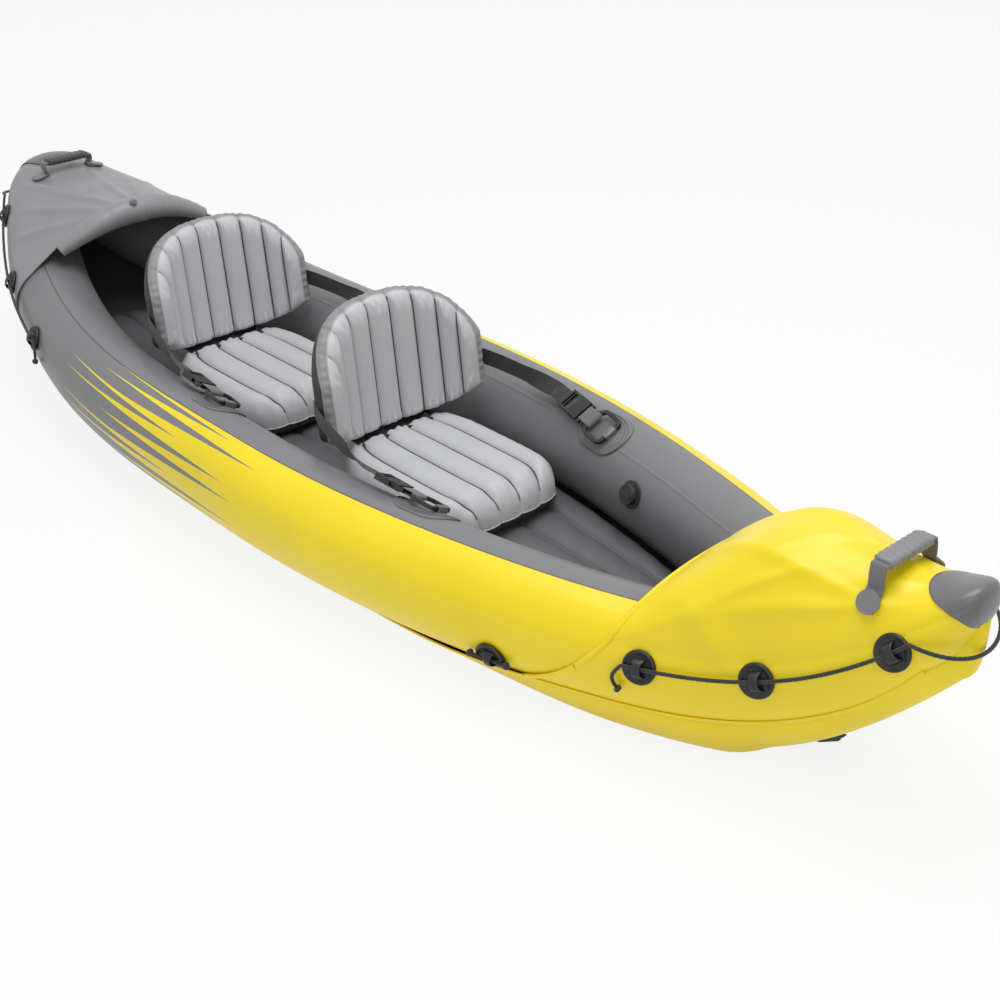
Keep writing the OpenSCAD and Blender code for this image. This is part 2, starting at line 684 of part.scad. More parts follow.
// Side-release buckle: socket on the loop, tongue on the strap
buckle_w = strap_w + 12;
buckle_t = 14;
socket_from = loop_l + loop_r + strap_t + 1.5;
socket_l = 34;
socket_to = socket_from + socket_l;
mouth_w = buckle_w - 10;
mouth_t = 8;
prong_l = 24;
tongue_l = 30;
module buckle_socket() {
    translate([loop_l, 0, 0]) rotate([90, 0, 0]) cylinder(d = socket_bar_d, h = buckle_w - 4, center = true);
    for (s = [-1, 1])
        translate([loop_l - socket_bar_d / 2, s * (buckle_w / 2 - 2) - 2, -socket_bar_d / 2])
            cube([socket_from - loop_l + socket_bar_d, 4, socket_bar_d]);
    difference() {
        translate([socket_from, -buckle_w / 2, -buckle_t / 2]) cube([socket_l, buckle_w, buckle_t]);
        translate([socket_to - prong_l - 2, -mouth_w / 2, -mouth_t / 2])
            cube([prong_l + 3, mouth_w, mouth_t]);
        for (s = [-1, 1])
            translate([socket_from + 12, s * buckle_w / 2 - 6, -mouth_t / 2]) cube([14, 12, mouth_t]);
    }
}
module buckle_sockets() {
    color(black) both_sides() for (sx = seat_xs) on_strap(sx) buckle_socket();
}
slot_t = strap_t + 2 * slide_gap;
module buckle_tongue() {
    prong_w = 9;
    difference() {
        translate([socket_to + slide_gap, -buckle_w / 2, -buckle_t / 2]) cube([tongue_l, buckle_w, buckle_t]);
        translate([socket_to + 8, -strap_w / 2 - slide_gap, -slot_t / 2])
            cube([tongue_l, strap_w + 2 * slide_gap, slot_t]);
        translate([socket_to + 10, -strap_w / 2, 0]) cube([7, strap_w, buckle_t]);
        translate([socket_to + 20, -strap_w / 2, 0]) cube([5, strap_w, buckle_t]);
    }
    for (y = [slide_gap - mouth_w / 2, -prong_w / 2, mouth_w / 2 - slide_gap - prong_w])
        translate([socket_to - prong_l, y, slide_gap - mouth_t / 2])
            cube([prong_l + 1, prong_w, mouth_t - 2 * slide_gap]);
}
module front_port_tongue() {
    color(black) on_strap(seat_xs[0]) buckle_tongue();
}
module front_starboard_tongue() {
    color(black) mirror([0, 1, 0]) on_strap(seat_xs[0]) buckle_tongue();
}
module rear_port_tongue() {
    color(black) on_strap(seat_xs[1]) buckle_tongue();
}
module rear_starboard_tongue() {
    color(black) mirror([0, 1, 0]) on_strap(seat_xs[1]) buckle_tongue();
}

// Seat pads: channelled top, drawn-in sides, resting on the floor
pad_back = 12;
pad_rows = 10;
pad_edge = 12;
pad_seam = 0.42;
pad_scallop = 12;
function pad_grid(sx, top) = [
    for (i = [0:pad_rows])
        [for (j = [0:pad_channels * lobe_cols])
            let (u = 2 * j / (pad_channels * lobe_cols) - 1, v = i / pad_rows, k = 2 * v - 1,
                round_u = 1 - 0.22 * pow(abs(k), 5), round_v = 1 - 0.10 * pow(abs(u), 4),
                x = sx + pad_back + pad_l * (0.5 + 0.5 * k * round_v), y = pad_w / 2 * u * round_u,
                e = sqrt(max(0, (1 - pow(abs(u), 5)) * (1 - pow(abs(k), 6)))),
                z = floor_top(x) + touch + pad_t * pad_seam,
                up = pad_edge / 2 + (pad_t * (1 - pad_seam) - pad_edge / 2) * e
                    - pad_scallop * e * (1 - lobe(u * 0.9999, pad_channels)),
                down = pad_edge / 2 + (pad_t * pad_seam - pad_edge / 2) * pow(e, 0.5))
            [x, y, top ? z + up : z - down]]
];
module seat_pad(sx) {
    sheet(pad_grid(sx, true), pad_grid(sx, false));
}
module front_seat_pad() {
    color(pale_grey) seat_pad(seat_xs[0]);
}
module rear_seat_pad() {
    color(pale_grey) seat_pad(seat_xs[1]);
}

// Backrests: wrap-round channelled cushions hinged along the rear of the pad
wrap_a = 78;
back_lean = 6;
back_rows = 10;
back_edge = 14;
back_scallop = 13;
back_shoulder = 0.40;
wing_lift = 62;
function seat_top(sx) = floor_top(sx + pad_l / 2) + touch + pad_t;
function back_z(sx) = seat_top(sx) + 4;
function back_plan(a) = [
    back_wrap * (1 - cos(wrap_a * a)) / (1 - cos(wrap_a)),
    (back_w - back_t * 0.5) / 2 * sin(wrap_a * a) / sin(wrap_a)
];
function back_normal(a) = let (d = back_plan(a + 0.01) - back_plan(a - 0.01)) unit([d[1], -d[0]]);
function back_low(a) = wing_lift * pow(abs(a), 2.5);
function back_high(a) = back_h * (1 - back_shoulder * pow(abs(a), 2.6));
function back_point(sx, a, h, side) =
    let (p = back_plan(a), n = back_normal(a), z = mix(back_low(a), back_high(a), h), k = 2 * h - 1,
        e = sqrt(max(0, (1 - pow(abs(a), 7)) * (1 - pow(abs(k), 6)))),
        t = side > 0
            ? back_edge / 2 + (back_t / 2 - back_edge / 2) * e - back_scallop * e * (1 - lobe(a * 0.9999, back_channels))
            : -back_edge / 2 - (back_t / 2 - back_edge / 2) * e)
    [sx - back_t / 2 + p[0] + n[0] * t - z * tan(back_lean), p[1] + n[1] * t, back_z(sx) + z];
function back_grid(sx, side) = [
    for (i = [0:back_rows])
        [for (j = [0:back_channels * lobe_cols])
            back_point(sx, 2 * j / (back_channels * lobe_cols) - 1, i / back_rows, side)]
];
module backrest(sx) {
    sheet(back_grid(sx, 1), back_grid(sx, -1), true);
}
module front_backrest() {
    color(pale_grey) backrest(seat_xs[0]);
}
module rear_backrest() {
    color(pale_grey) backrest(seat_xs[1]);
}

// Backrest hinges: a rod under each backrest's lower edge turns in a sleeve that is carried by the pad
rod_d = 10;
rod_l = 210;
rod_gap = 0.1;
sleeve_t = 2.5;
function rod_x(sx) = sx - back_t / 2;
function rod_z(sx) = back_z(sx) - rod_d / 2 - touch;
module hinge_rod(sx) {
    translate([rod_x(sx), 0, rod_z(sx)]) rotate([90, 0, 0]) cylinder(d = rod_d, h = rod_l, center = true);
}
module hinge_sleeve(sx) {
    bore = rod_d / 2 + rod_gap;
    reach = sx + pad_back - touch - rod_x(sx);
    drop = floor_top(sx + pad_back) + touch + pad_t * pad_seam - pad_edge / 2 - rod_z(sx);
    translate([rod_x(sx), 0, rod_z(sx)]) rotate([90, 0, 0])
        linear_extrude(rod_l, center = true) difference() {
        union() {
            circle(r = bore + sleeve_t);
            translate([0, -bore - sleeve_t]) square([reach, sleeve_t]);
            translate([reach - sleeve_t, drop]) square([sleeve_t, -bore - sleeve_t / 2 - drop]);
        }
        circle(r = bore);
        translate([-2 * bore, 1]) square([4 * bore, 2 * bore]);
    }
}
module front_hinge_rod() {
    color(mid_grey) hinge_rod(seat_xs[0]);
}
module rear_hinge_rod() {
    color(mid_grey) hinge_rod(seat_xs[1]);
}
module seat_hinge_sleeves() {
    color(dark_grey) for (sx = seat_xs) hinge_sleeve(sx);
}

// Plug valves: a flanged collar with a plug in it
plug_collar = 5;
plug_d = 11;
module plug_body() {
    difference() {
        union() {
            cylinder(d = plug_valve_d, h = 2);
            cylinder(d = plug_d + 5, h = plug_collar);
        }
        translate([0, 0, 1]) cylinder(d = plug_d, h = plug_collar);
    }
}
module plug() {
    translate([0, 0, 1.2]) cylinder(d = plug_d - 2 * slide_gap, h = plug_collar);
    translate([0, 0, plug_collar + slide_gap]) cylinder(d = plug_d + 5, h = 2.4);
    translate([-2, -plug_d / 2, plug_collar + 2]) cube([4, plug_d, 4]);
}
back_valve_h = 0.3;
module on_backrest(sx) {
    p = back_point(sx, 0, back_valve_h, -1);
    translate([p[0] - touch, p[1], p[2]]) rotate([0, -90 - back_lean, 0]) children();
}
module front_backrest_valve() {
    color(black) on_backrest(seat_xs[0]) plug_body();
}
module rear_backrest_valve() {
    color(black) on_backrest(seat_xs[1]) plug_body();
}
module front_backrest_plug() {
    color(black) on_backrest(seat_xs[0]) plug();
}
module rear_backrest_plug() {
    color(black) on_backrest(seat_xs[1]) plug();
}

// Seat straps: from the tongue's slot, twisting round the wing to the back of the backrest
strap_steps = 12;
strap_from = socket_to + 12;
strap_seat_a = 0.80;
strap_seat_h = 0.42;
strap_swing = 46;
function strap_path(sx, t) =
    let (a = strap_point(sx, [strap_from, 0, 0]), lead = strap_point(sx, [strap_from + 60, 0, 0]),
        e = back_point(sx, strap_seat_a, strap_seat_h, -1) + [-1.2 - strap_t, 1.2 + strap_t, 0],
        m = back_point(sx, 1, strap_seat_h, 0) + [10, strap_swing, 0])
    t < 0.3 ? mix(a, lead, t / 0.3) : bezier(lead, m, e, (t - 0.3) / 0.7);
function strap_wide(sx, t) = mix(strap_vec(sx, [0, 1, 0]), [0, 0, -1], ramp((t - 0.3) / 0.6));
module strap(sx) {
    ts = [for (i = [0:strap_steps]) i / strap_steps];
    ribbon([for (t = ts) strap_path(sx, t)], [for (t = ts) strap_wide(sx, t)], strap_w, strap_t);
}
module front_port_strap() {
    color(black) strap(seat_xs[0]);
}
module front_starboard_strap() {
    color(black) mirror([0, 1, 0]) strap(seat_xs[0]);
}
module rear_port_strap() {
    color(black) strap(seat_xs[1]);
}
module rear_starboard_strap() {
    color(black) mirror([0, 1, 0]) strap(seat_xs[1]);
}

// Screw valves: flange and collar, a flap inside, a cap over the collar
collar_h = 9;
collar_wall = 4;
flange_t = 3;
module valve_body() {
    difference() {
        union() {
            cylinder(d = valve_flange_d, h = flange_t);
            cylinder(d = valve_bore_d + 2 * collar_wall, h = flange_t + collar_h);
        }
        translate([0, 0, 1]) cylinder(d = valve_bore_d, h = flange_t + collar_h);
    }
}
module valve_flap() {
    translate([0, 0, 1 + touch]) cylinder(d = valve_bore_d - 2 * slide_gap, h = 1.5);
}
module valve_cap() {
    skirt_d = valve_bore_d + 2 * collar_wall + 2 * slide_gap;
    translate([0, 0, flange_t + slide_gap]) difference() {
        cylinder(d = valve_cap_d, h = collar_h + 4);
        translate([0, 0, -1]) cylinder(d = skirt_d, h = collar_h + 1 + touch);
    }
    translate([-valve_cap_d / 2 + 4, -3, flange_t + collar_h + 4]) cube([valve_cap_d - 8, 6, 5]);
}
valve_x = 645;
valve_a = -72;
floor_valve_x = -880;
module on_wall() {
    on_hull(valve_x, valve_a, patch_gap) children();
}
module on_floor() {
    slope = atan2(floor_top(floor_valve_x + 40) - floor_top(floor_valve_x - 40), 80);
    translate([floor_valve_x, 0, floor_top(floor_valve_x) + patch_gap]) rotate([0, -slope, 0]) children();
}
module port_valve_body() {
    color(black) on_wall() valve_body();
}
module starboard_valve_body() {
    color(black) mirror([0, 1, 0]) on_wall() valve_body();
}
module floor_valve_body() {
    color(black) on_floor() valve_body();
}
module valve_flaps() {
    color(mid_grey) {
        both_sides() on_wall() valve_flap();
        on_floor() valve_flap();
    }
}
module port_valve_cap() {
    color(black) on_wall() valve_cap();
}
module starboard_valve_cap() {
    color(black) mirror([0, 1, 0]) on_wall() valve_cap();
}
module floor_valve_cap() {
    color(black) on_floor() valve_cap();
}

// Plug valve on the upper face of the stern visor
visor_valve_q = -0.04;
module on_visor() {
    p = visor_point(visor_valve_q);
    r = visor_r(visor_valve_q);
    tilt = 38;
    translate(p) rotate([0, tilt, 0]) translate([0, 0, r + touch]) children();
}
module visor_valve_body() {
    color(black) on_visor() plug_body();
}
module visor_valve_plug() {
    color(black) on_visor() plug();
}

// Skeg: base plate with two rails on the forefoot, fin with a flange that slides in them
skeg_back = 290;
skeg_x = bow_length - skeg_back;
skeg_slope = atan2(keel_z(skeg_x + 5) - keel_z(skeg_x - 5), 10);
base_t = 5;
rail_w = 6;
lip = 5;
lip_t = 3;
skeg_flange_w = 26;
skeg_flange_t = 4;
skeg_l = 96;
skeg_depth = 20;
skeg_seat = 0.6;
module on_forefoot() {
    translate([skeg_x, 0, keel_z(skeg_x)]) rotate([0, -skeg_slope, 0])
        translate([0, 0, skeg_seat]) children();
}
// Profile of the base across the hull: a plate with two hooked rails
module skeg_base() {
    half = skeg_flange_w / 2 + slide_gap;
    low = -base_t - skeg_flange_t - 2 * slide_gap;
    foot = low - lip_t;
    right = [[skeg_base_w / 2, 0], [skeg_base_w / 2, -base_t], [half + rail_w, -base_t],
        [half + rail_w, foot], [half - lip, foot], [half - lip, low], [half, low], [half, -base_t]];
    left = [for (i = [len(right) - 1:-1:0]) [-right[i][0], right[i][1]]];
    color(black) on_forefoot() rotate([90, 0, 90]) linear_extrude(skeg_base_l, center = true)
        polygon(concat(right, left));
}
module skeg() {
    top = -base_t - slide_gap;
    color(black) on_forefoot() {
        translate([-skeg_l / 2, -skeg_flange_w / 2, top - skeg_flange_t])
            cube([skeg_l, skeg_flange_w, skeg_flange_t]);
        rotate([90, 0, 0]) linear_extrude(skeg_t, center = true)
            polygon([[-skeg_l / 2, top - 1], [skeg_l / 2, top - 1], [skeg_l / 4, top - skeg_depth],
                [-skeg_l / 4, top - skeg_depth], [-skeg_l / 2, top - skeg_depth / 2]]);
    }
}

// Carry handles: webbing from rivet to rivet over the hood, moulded grip in the middle
bow_rivet_q = 0.29;
stern_rivet_q = 0.17;
rivet_t = 4;
web_t = 3;
bow_web_gap = 2.4;
stern_web_gap = 1.6;
web_end = 16;
bow_grip_sink = 8;
grip_d = 20;
function handle_x(dir) = dir * (end_length(dir) - handle_in);
function web_gap(dir) = dir > 0 ? bow_web_gap : stern_web_gap;
function rivet_q(dir) = dir > 0 ? bow_rivet_q : stern_rivet_q;
function rivet_point(dir, off) = deck_section(handle_x(dir), rivet_q(dir), skin_out + off);
function rivet_tilt(dir) =
    let (x = handle_x(dir), q = rivet_q(dir), d = deck_section(x, q + 0.02, 0) - deck_section(x, q - 0.02, 0))
    atan2(-d[2], d[1]);
function grip_z(dir) =
    ridge_z(handle_x(dir), skin_out) + (dir > 0 ? grip_lift - bow_grip_sink : grip_lift);
function rivet_dir(dir) = [0, sin(rivet_tilt(dir)), cos(rivet_tilt(dir))];
function along_dir(dir) = [0, cos(rivet_tilt(dir)), -sin(rivet_tilt(dir))];
function web_points(dir) =
    let (p = rivet_point(dir, 0), n = rivet_dir(dir), d = along_dir(dir),
        base = p + n * (web_t / 2 + web_gap(dir)),
        up = [0, grip_l / 2 + 8, grip_z(dir)])
    concat([base + d * web_end, base - d * rivet_d / 2],
        [for (i = [1:5]) bezier(base - d * (rivet_d / 2 + 6), [0, up[1] + 6, up[2] - 18], up, i / 5)]);
module handle_webbing(dir) {
    half = web_points(dir);
    pts = [for (p = half) [handle_x(dir), p[1], p[2]]];
    path = concat(pts, [for (i = [len(pts) - 1:-1:0]) turned(pts[i])]);
    ribbon(path, [for (p = path) [1, 0, 0]], handle_web_w, web_t);
}
module handle_grip(dir) {
    translate([handle_x(dir), 0, grip_z(dir)]) difference() {
        union() {
            translate([-handle_web_w / 2 - 4, -grip_l / 2, -grip_d / 2 + 3])
                cube([handle_web_w + 8, grip_l, grip_d - 6]);
            for (y = [-grip_l / 2 : grip_l / 8 : grip_l / 2 - 6])
                translate([-handle_web_w / 2 - 5, y, -grip_d / 2]) cube([handle_web_w + 10, 6, grip_d]);
        }
        translate([-handle_web_w / 2 - slide_gap, -grip_l, -web_t / 2 - slide_gap])
            cube([handle_web_w + 2 * slide_gap, 2 * grip_l, web_t + 2 * slide_gap]);
    }
}
module handle_rivets(dir) {
    p = rivet_point(dir, 0) + rivet_dir(dir) * (web_gap(dir) + web_t + touch);
    both_sides() translate([handle_x(dir), p[1], p[2]]) rotate([-rivet_tilt(dir), 0, 0])
        cylinder(d = rivet_d, h = rivet_t);
}
module bow_handle_webbing() {
    color(mid_grey) handle_webbing(1);
}
module bow_handle_grip() {
    color(mid_grey) handle_grip(1);
}
module bow_handle_rivets() {
    color(mid_grey) handle_rivets(1);
}
module stern_handle_webbing() {
    color(mid_grey) handle_webbing(-1);
}
module stern_handle_grip() {
    color(mid_grey) handle_grip(-1);
}
module stern_handle_rivets() {
    color(mid_grey) handle_rivets(-1);
}

hull_bottom();
port_chamber();
starboard_chamber();
inflatable_floor();
bow_deck();
bow_roll();
stern_deck();
stern_visor();
nose_patch();
stern_patch();
bow_grab_line();
stern_grab_line();
bow_eyelets();
stern_eyelets();
side_eyelets();
side_lashings();
anchor_patches();
anchor_rings();
anchor_webbing();
buckle_sockets();
port_valve_body();
starboard_valve_body();
floor_valve_body();
valve_flaps();
port_valve_cap();
starboard_valve_cap();
floor_valve_cap();
visor_valve_body();
visor_valve_plug();
skeg_base();
skeg();
front_seat_pad();
rear_seat_pad();
front_backrest();
rear_backrest();
front_hinge_rod();
rear_hinge_rod();
seat_hinge_sleeves();
front_backrest_valve();
rear_backrest_valve();
front_backrest_plug();
rear_backrest_plug();
front_port_strap();
front_starboard_strap();
rear_port_strap();
rear_starboard_strap();
front_port_tongue();
front_starboard_tongue();
rear_port_tongue();
rear_starboard_tongue();
bow_handle_webbing();
bow_handle_grip();
bow_handle_rivets();
stern_handle_webbing();
stern_handle_grip();
stern_handle_rivets();
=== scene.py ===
# %% [markdown]
# # A two-seat inflatable kayak, dressed
# The solid model gives every piece its place and its joints. This script loads it as a fixed frame and
# lays the visible skin over it: welded vinyl tubes, a ribbed floor, spray decks, padded seats, webbing
# and rope. Everything is in metres, with +X to the bow, +Y to port and +Z up.

# %% Load the frame
import math

import bmesh
import bpy
import numpy as np
from mathutils import Matrix


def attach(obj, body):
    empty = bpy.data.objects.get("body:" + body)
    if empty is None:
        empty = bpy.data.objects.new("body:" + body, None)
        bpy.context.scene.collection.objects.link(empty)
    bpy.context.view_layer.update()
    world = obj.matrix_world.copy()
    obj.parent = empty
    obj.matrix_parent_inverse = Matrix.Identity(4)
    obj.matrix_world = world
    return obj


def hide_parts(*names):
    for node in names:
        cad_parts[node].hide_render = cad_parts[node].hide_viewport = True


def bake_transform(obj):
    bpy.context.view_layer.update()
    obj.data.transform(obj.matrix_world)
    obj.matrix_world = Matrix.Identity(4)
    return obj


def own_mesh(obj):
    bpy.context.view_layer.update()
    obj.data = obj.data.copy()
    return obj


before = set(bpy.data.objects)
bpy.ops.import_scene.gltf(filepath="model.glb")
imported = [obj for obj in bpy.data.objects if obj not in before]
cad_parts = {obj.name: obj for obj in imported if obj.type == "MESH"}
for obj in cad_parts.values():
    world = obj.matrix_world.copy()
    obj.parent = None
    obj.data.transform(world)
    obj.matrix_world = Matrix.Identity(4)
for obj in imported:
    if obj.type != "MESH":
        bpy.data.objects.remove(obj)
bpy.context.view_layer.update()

# %% [markdown]
# ## Camera
# The photograph looks down on the starboard bow quarter. A camera is easiest to reason about as a point
# on a sphere round a target: azimuth, elevation and distance, with a small roll. The lens shift moves the
# picture without turning the camera, just as a cropped photograph does.

# %% Camera
def placed(right, up, back, at):
    """Placement at a point, with these three axes."""
    place = np.eye(4)
    place[:3] = np.stack([right, up, back, at], 1)
    return Matrix(place.tolist())


def linked(name, data):
    """A new object in the scene."""
    obj = bpy.data.objects.new(name, data)
    bpy.context.scene.collection.objects.link(obj)
    return obj


def aim(target, azimuth, elevation, distance, roll):
    """Stands a camera on a sphere round the target: its back axis points from the target to the camera,
    its right axis lies level, and both right and up then turn by the roll about the back axis."""
    az, el, ro = (math.radians(v) for v in (azimuth, elevation, roll))
    back = np.array([math.sin(az) * math.cos(el), -math.cos(az) * math.cos(el), math.sin(el)])
    right = np.cross(-back, [0, 0, 1])
    right /= np.linalg.norm(right)
    up = np.cross(back, right)
    right, up = (math.cos(ro) * right + math.sin(ro) * up, -math.sin(ro) * right + math.cos(ro) * up)
    return placed(right, up, back, np.array(target) + distance * back)


lens = bpy.data.cameras.new("camera")
lens.sensor_width, lens.lens = 36.0, 56.2
lens.shift_x, lens.shift_y = -0.032, -0.12
lens.clip_end = 100
camera = linked("camera", lens)
camera.matrix_world = aim((0.222, 0.277, 0.282), 47.55, 25.12, 3.593, -0.68)
bpy.context.scene.camera = camera
bpy.context.scene.view_settings.view_transform = "Standard"
print("camera at", [round(v, 3) for v in camera.matrix_world.translation])

# %% [markdown]
# ## The hull's own curves
# An inflated tube keeps a round section, so the whole hull follows from a few curves along its length:
# how far out the tube's middle runs, how high it climbs at the ends, and its radius. Each is a short
# formula on arrays, so every later piece (eyelet, rope, deck) can ask the hull for a point instead of
# being fitted by eye.

# %% Hull curves
BOW = STERN = 1.585
TUBE_Y, TUBE_R, TUBE_Z, SQUASH = 0.343, 0.112, 0.157, 0.235 / 0.224
MEET = BOW - 0.120
FINE_RUN, CLOSE_RUN = 0.165, 0.09
TUBE_OFF, DECK_OFF = 0.001, 0.005
BOTTOM_T, DECK_T, PATCH_T = 0.0028, 0.0022, 0.0024
SIDES = ("port", "starboard")


def soft(v, b):
    """Larger of v and zero, with a rounded corner of size b: the mean of v and its hypotenuse with b."""
    return (v + np.sqrt(v * v + b * b)) / 2


def ramp(v):
    """Smooth step: three times the square less twice the cube, held between 0 and 1."""
    v = np.clip(v, 0, 1)
    return v * v * (3 - 2 * v)


def mix(a, b, t):
    """Straight blend from a to b."""
    return a + (b - a) * t


def join(*parts):
    """Coordinates of matching shapes, stacked into points."""
    return np.stack(np.broadcast_arrays(*parts), -1)


def line_y(x):
    """Half-breadth of the tube's middle: a power curve aft, and a parabola with a soft end forward."""
    aft = TUBE_Y * np.maximum(0, 1 - (np.maximum(0, -x) / STERN) ** 3.1)
    fore = TUBE_Y * soft(TUBE_Y * (1 - (np.maximum(0, x) / MEET) ** 2), 0.03) / soft(TUBE_Y, 0.03)
    return np.where(x < 0, aft, fore)


def rise(x):
    """Upward sweep of the ends: a power of the distance past the flat middle."""
    return np.where(x < 0, 0.275 * np.maximum(0, (-x - 0.3) / 1.285) ** 2.8,
                    0.290 * np.maximum(0, (x - 0.6) / 0.985) ** 5)


def full_r(x):
    """Tube radius before the ends close: 17 percent finer at the tips, by the fourth power, and a quarter
    finer again by a smooth step over the bow's last stretch."""
    return TUBE_R * (1 - 0.17 * (np.abs(x) / BOW) ** 4) * (1 - 0.25 * ramp((x - BOW + FINE_RUN) / FINE_RUN))


def closing(x, stop=BOW):
    """Quarter ellipse that takes the radius to nothing over the last stretch before stop."""
    return np.sqrt(np.maximum(0, 1 - np.maximum(0, (np.abs(x) - stop + CLOSE_RUN) / CLOSE_RUN) ** 2))


def hull_point(x, a, off=0.0, r=None):
    """Point on the port tube at length x and a degrees outward of its top, off metres above the skin."""
    x, a = np.broadcast_arrays(np.asarray(x, float), np.asarray(a, float))
    r = full_r(x) * closing(x) if r is None else r
    t = np.radians(a)
    up = TUBE_Z + rise(x) + (SQUASH * r + off) * np.cos(t)
    return join(x, line_y(x) + (r + off) * np.sin(t), up)


def starboard(points):
    """Mirror image on the other side of the hull."""
    return points * np.array([1, -1, 1])


print("beam %.3f m" % (2 * (hull_point(0, 90)[1])))

# %% [markdown]
# ## From arrays to meshes
# A surface is a grid of points. One helper turns grids into a mesh with foreach_set, welds the seams and
# poles, and turns the faces outward; another carries a profile along a path. Every new piece below comes
# from the first, and the long round ones from both.

# %% Mesh helpers
def quads(rows, cols, wrap):
    """Corner numbers of every cell in a grid; with wrap the last column joins the first."""
    index = np.arange(rows * cols).reshape(rows, cols)
    left = index if wrap else index[:, :-1]
    right = np.roll(index, -1, 1) if wrap else index[:, 1:]
    return join(left[:-1], right[:-1], right[1:], left[1:]).reshape(-1, 4)


def grid(points, wrap=False, uv=None, mat=0, ends=False):
    """One grid for a mesh. With ends, a ring shrunk to its middle closes each end."""
    points = np.asarray(points, float)
    if ends:
        first, last = (np.repeat(points[i].mean(0)[None, None], points.shape[1], 1) for i in (0, -1))
        points = np.concatenate([first, points, last])
        uv = None if uv is None else np.concatenate([uv[:1], uv, uv[-1:]])
    rows, cols = points.shape[0], points.shape[1] + int(wrap)
    if uv is None:
        uv = np.stack(np.meshgrid(np.linspace(0, 1, rows), np.linspace(0, 1, cols), indexing="ij"), -1)
    return dict(points=points, wrap=wrap, uv=uv, mat=mat)


def surface(name, grids, mats, body="hull", replaces=(), inside=None):
    """Builds one mesh from grids: vertices, loops and faces go in as whole arrays, doubles are welded, and
    the faces turn outward (away from the point inside, where the surface is an open sheet)."""
    verts, faces, uvs, which, count = [], [], [], [], 0
    for g in grids:
        rows, cols = g["points"].shape[:2]
        cells = quads(rows, cols, g["wrap"])
        verts.append(g["points"].reshape(-1, 3))
        faces.append(cells + count)
        corners = quads(rows, cols + int(g["wrap"]), False)
        uvs.append(np.asarray(g["uv"]).reshape(-1, 2)[corners].reshape(-1, 2))
        which.append(np.full(len(cells), g["mat"]))
        count += rows * cols
    verts, faces = np.concatenate(verts), np.concatenate(faces)
    mesh = bpy.data.meshes.new(name)
    mesh.vertices.add(len(verts))
    mesh.vertices.foreach_set("co", verts.astype(np.float32).ravel())
    mesh.loops.add(faces.size)
    mesh.loops.foreach_set("vertex_index", faces.astype(np.int32).ravel())
    mesh.polygons.add(len(faces))
    mesh.polygons.foreach_set("loop_start", np.arange(0, faces.size, 4, dtype=np.int32))
    mesh.polygons.foreach_set("material_index", np.concatenate(which).astype(np.int32))
    mesh.update(calc_edges=True)
    mesh.uv_layers.new(name="UVMap").data.foreach_set("uv", np.concatenate(uvs).astype(np.float32).ravel())
    shell = bmesh.new()
    shell.from_mesh(mesh)
    bmesh.ops.remove_doubles(shell, verts=shell.verts, dist=2e-6)
    bmesh.ops.recalc_face_normals(shell, faces=shell.faces)
    shell.to_mesh(mesh)
    shell.free()
    if inside is not None:
        facing, middle = np.empty(3 * len(mesh.polygons)), np.empty(3 * len(mesh.polygons))
        mesh.polygons.foreach_get("normal", facing)
        mesh.polygons.foreach_get("center", middle)
        if (facing.reshape(-1, 3) * (middle.reshape(-1, 3) - inside)).sum() < 0:
            mesh.flip_normals()
    mesh.polygons.foreach_set("use_smooth", np.ones(len(mesh.polygons), bool))
    for m in mats:
        mesh.materials.append(m)
    obj = linked(name, mesh)
    if replaces:
        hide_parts(*replaces)
    if body:
        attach(obj, body)
    print("%-26s %6d faces" % (name, len(mesh.polygons)))
    return obj


def lattice(rows, cols, low=0.0):
    """Two grids: one from low to 1 down the rows, one from -1 to 1 along the columns."""
    return np.meshgrid(np.linspace(low, 1, rows), np.linspace(-1, 1, cols), indexing="ij")


def unit(v):
    """Vectors scaled to length one."""
    return v / np.maximum(np.linalg.norm(v, axis=-1, keepdims=True), 1e-12)


def circle(count):
    """Angles of points evenly round a circle."""
    return np.linspace(0, 2 * np.pi, count, endpoint=False)


def power(v, exponent):
    """Power of the size of v, with the sign of v."""
    return np.sign(v) * np.abs(v) ** exponent


def lengths(path):
    """Distance along a path at each of its points."""
    return np.concatenate([[0], np.cumsum(np.linalg.norm(np.diff(path, axis=0), axis=1))])


def pair(g):
    """A grid and its mirror image on the other side."""
    return [g, dict(g, points=starboard(g["points"]))]


def sweep(path, facing, profile):
    """Carries a closed profile of (across, up) pairs along a path: one profile for all stations, or one each.
    Across is square to the path and to facing, and up is square to both."""
    tangent = unit(np.gradient(path, axis=0))
    side = unit(np.cross(tangent, np.broadcast_to(facing, path.shape)))
    lift = np.cross(side, tangent)
    profile = np.broadcast_to(profile, (len(path),) + np.shape(profile)[-2:])
    return path[:, None] + profile[..., :1] * side[:, None] + profile[..., 1:] * lift[:, None]


def tube(path, facing, profile, uv=None):
    """A profile carried along a path, with both ends shut."""
    return grid(sweep(path, facing, profile), wrap=True, uv=uv, ends=True)


def ring(radius, sides):
    """Round profile of one radius, or of one radius per station."""
    t = circle(sides)
    return np.asarray(radius, float)[..., None, None] * join(np.cos(t), np.sin(t))


def resample(path, step):
    """The same path with points a fixed step apart along its length."""
    run = lengths(path)
    at = np.linspace(0, run[-1], max(3, int(run[-1] / step) + 1))
    return np.stack([np.interp(at, run, path[:, k]) for k in range(3)], -1), at


def normals(points):
    """Unit normals of a grid, from the cross product of its two gradients."""
    return unit(np.cross(np.gradient(points, axis=0), np.gradient(points, axis=1)))


def capped(points):
    """Adds a row at each end that gathers it to the middle between its two corners."""
    middles = [(points[i, 0] + points[i, -1])[None, None] / 2 for i in (0, -1)]
    first, last = (np.repeat(middle, points.shape[1], 1) for middle in middles)
    return np.concatenate([first, points, last])


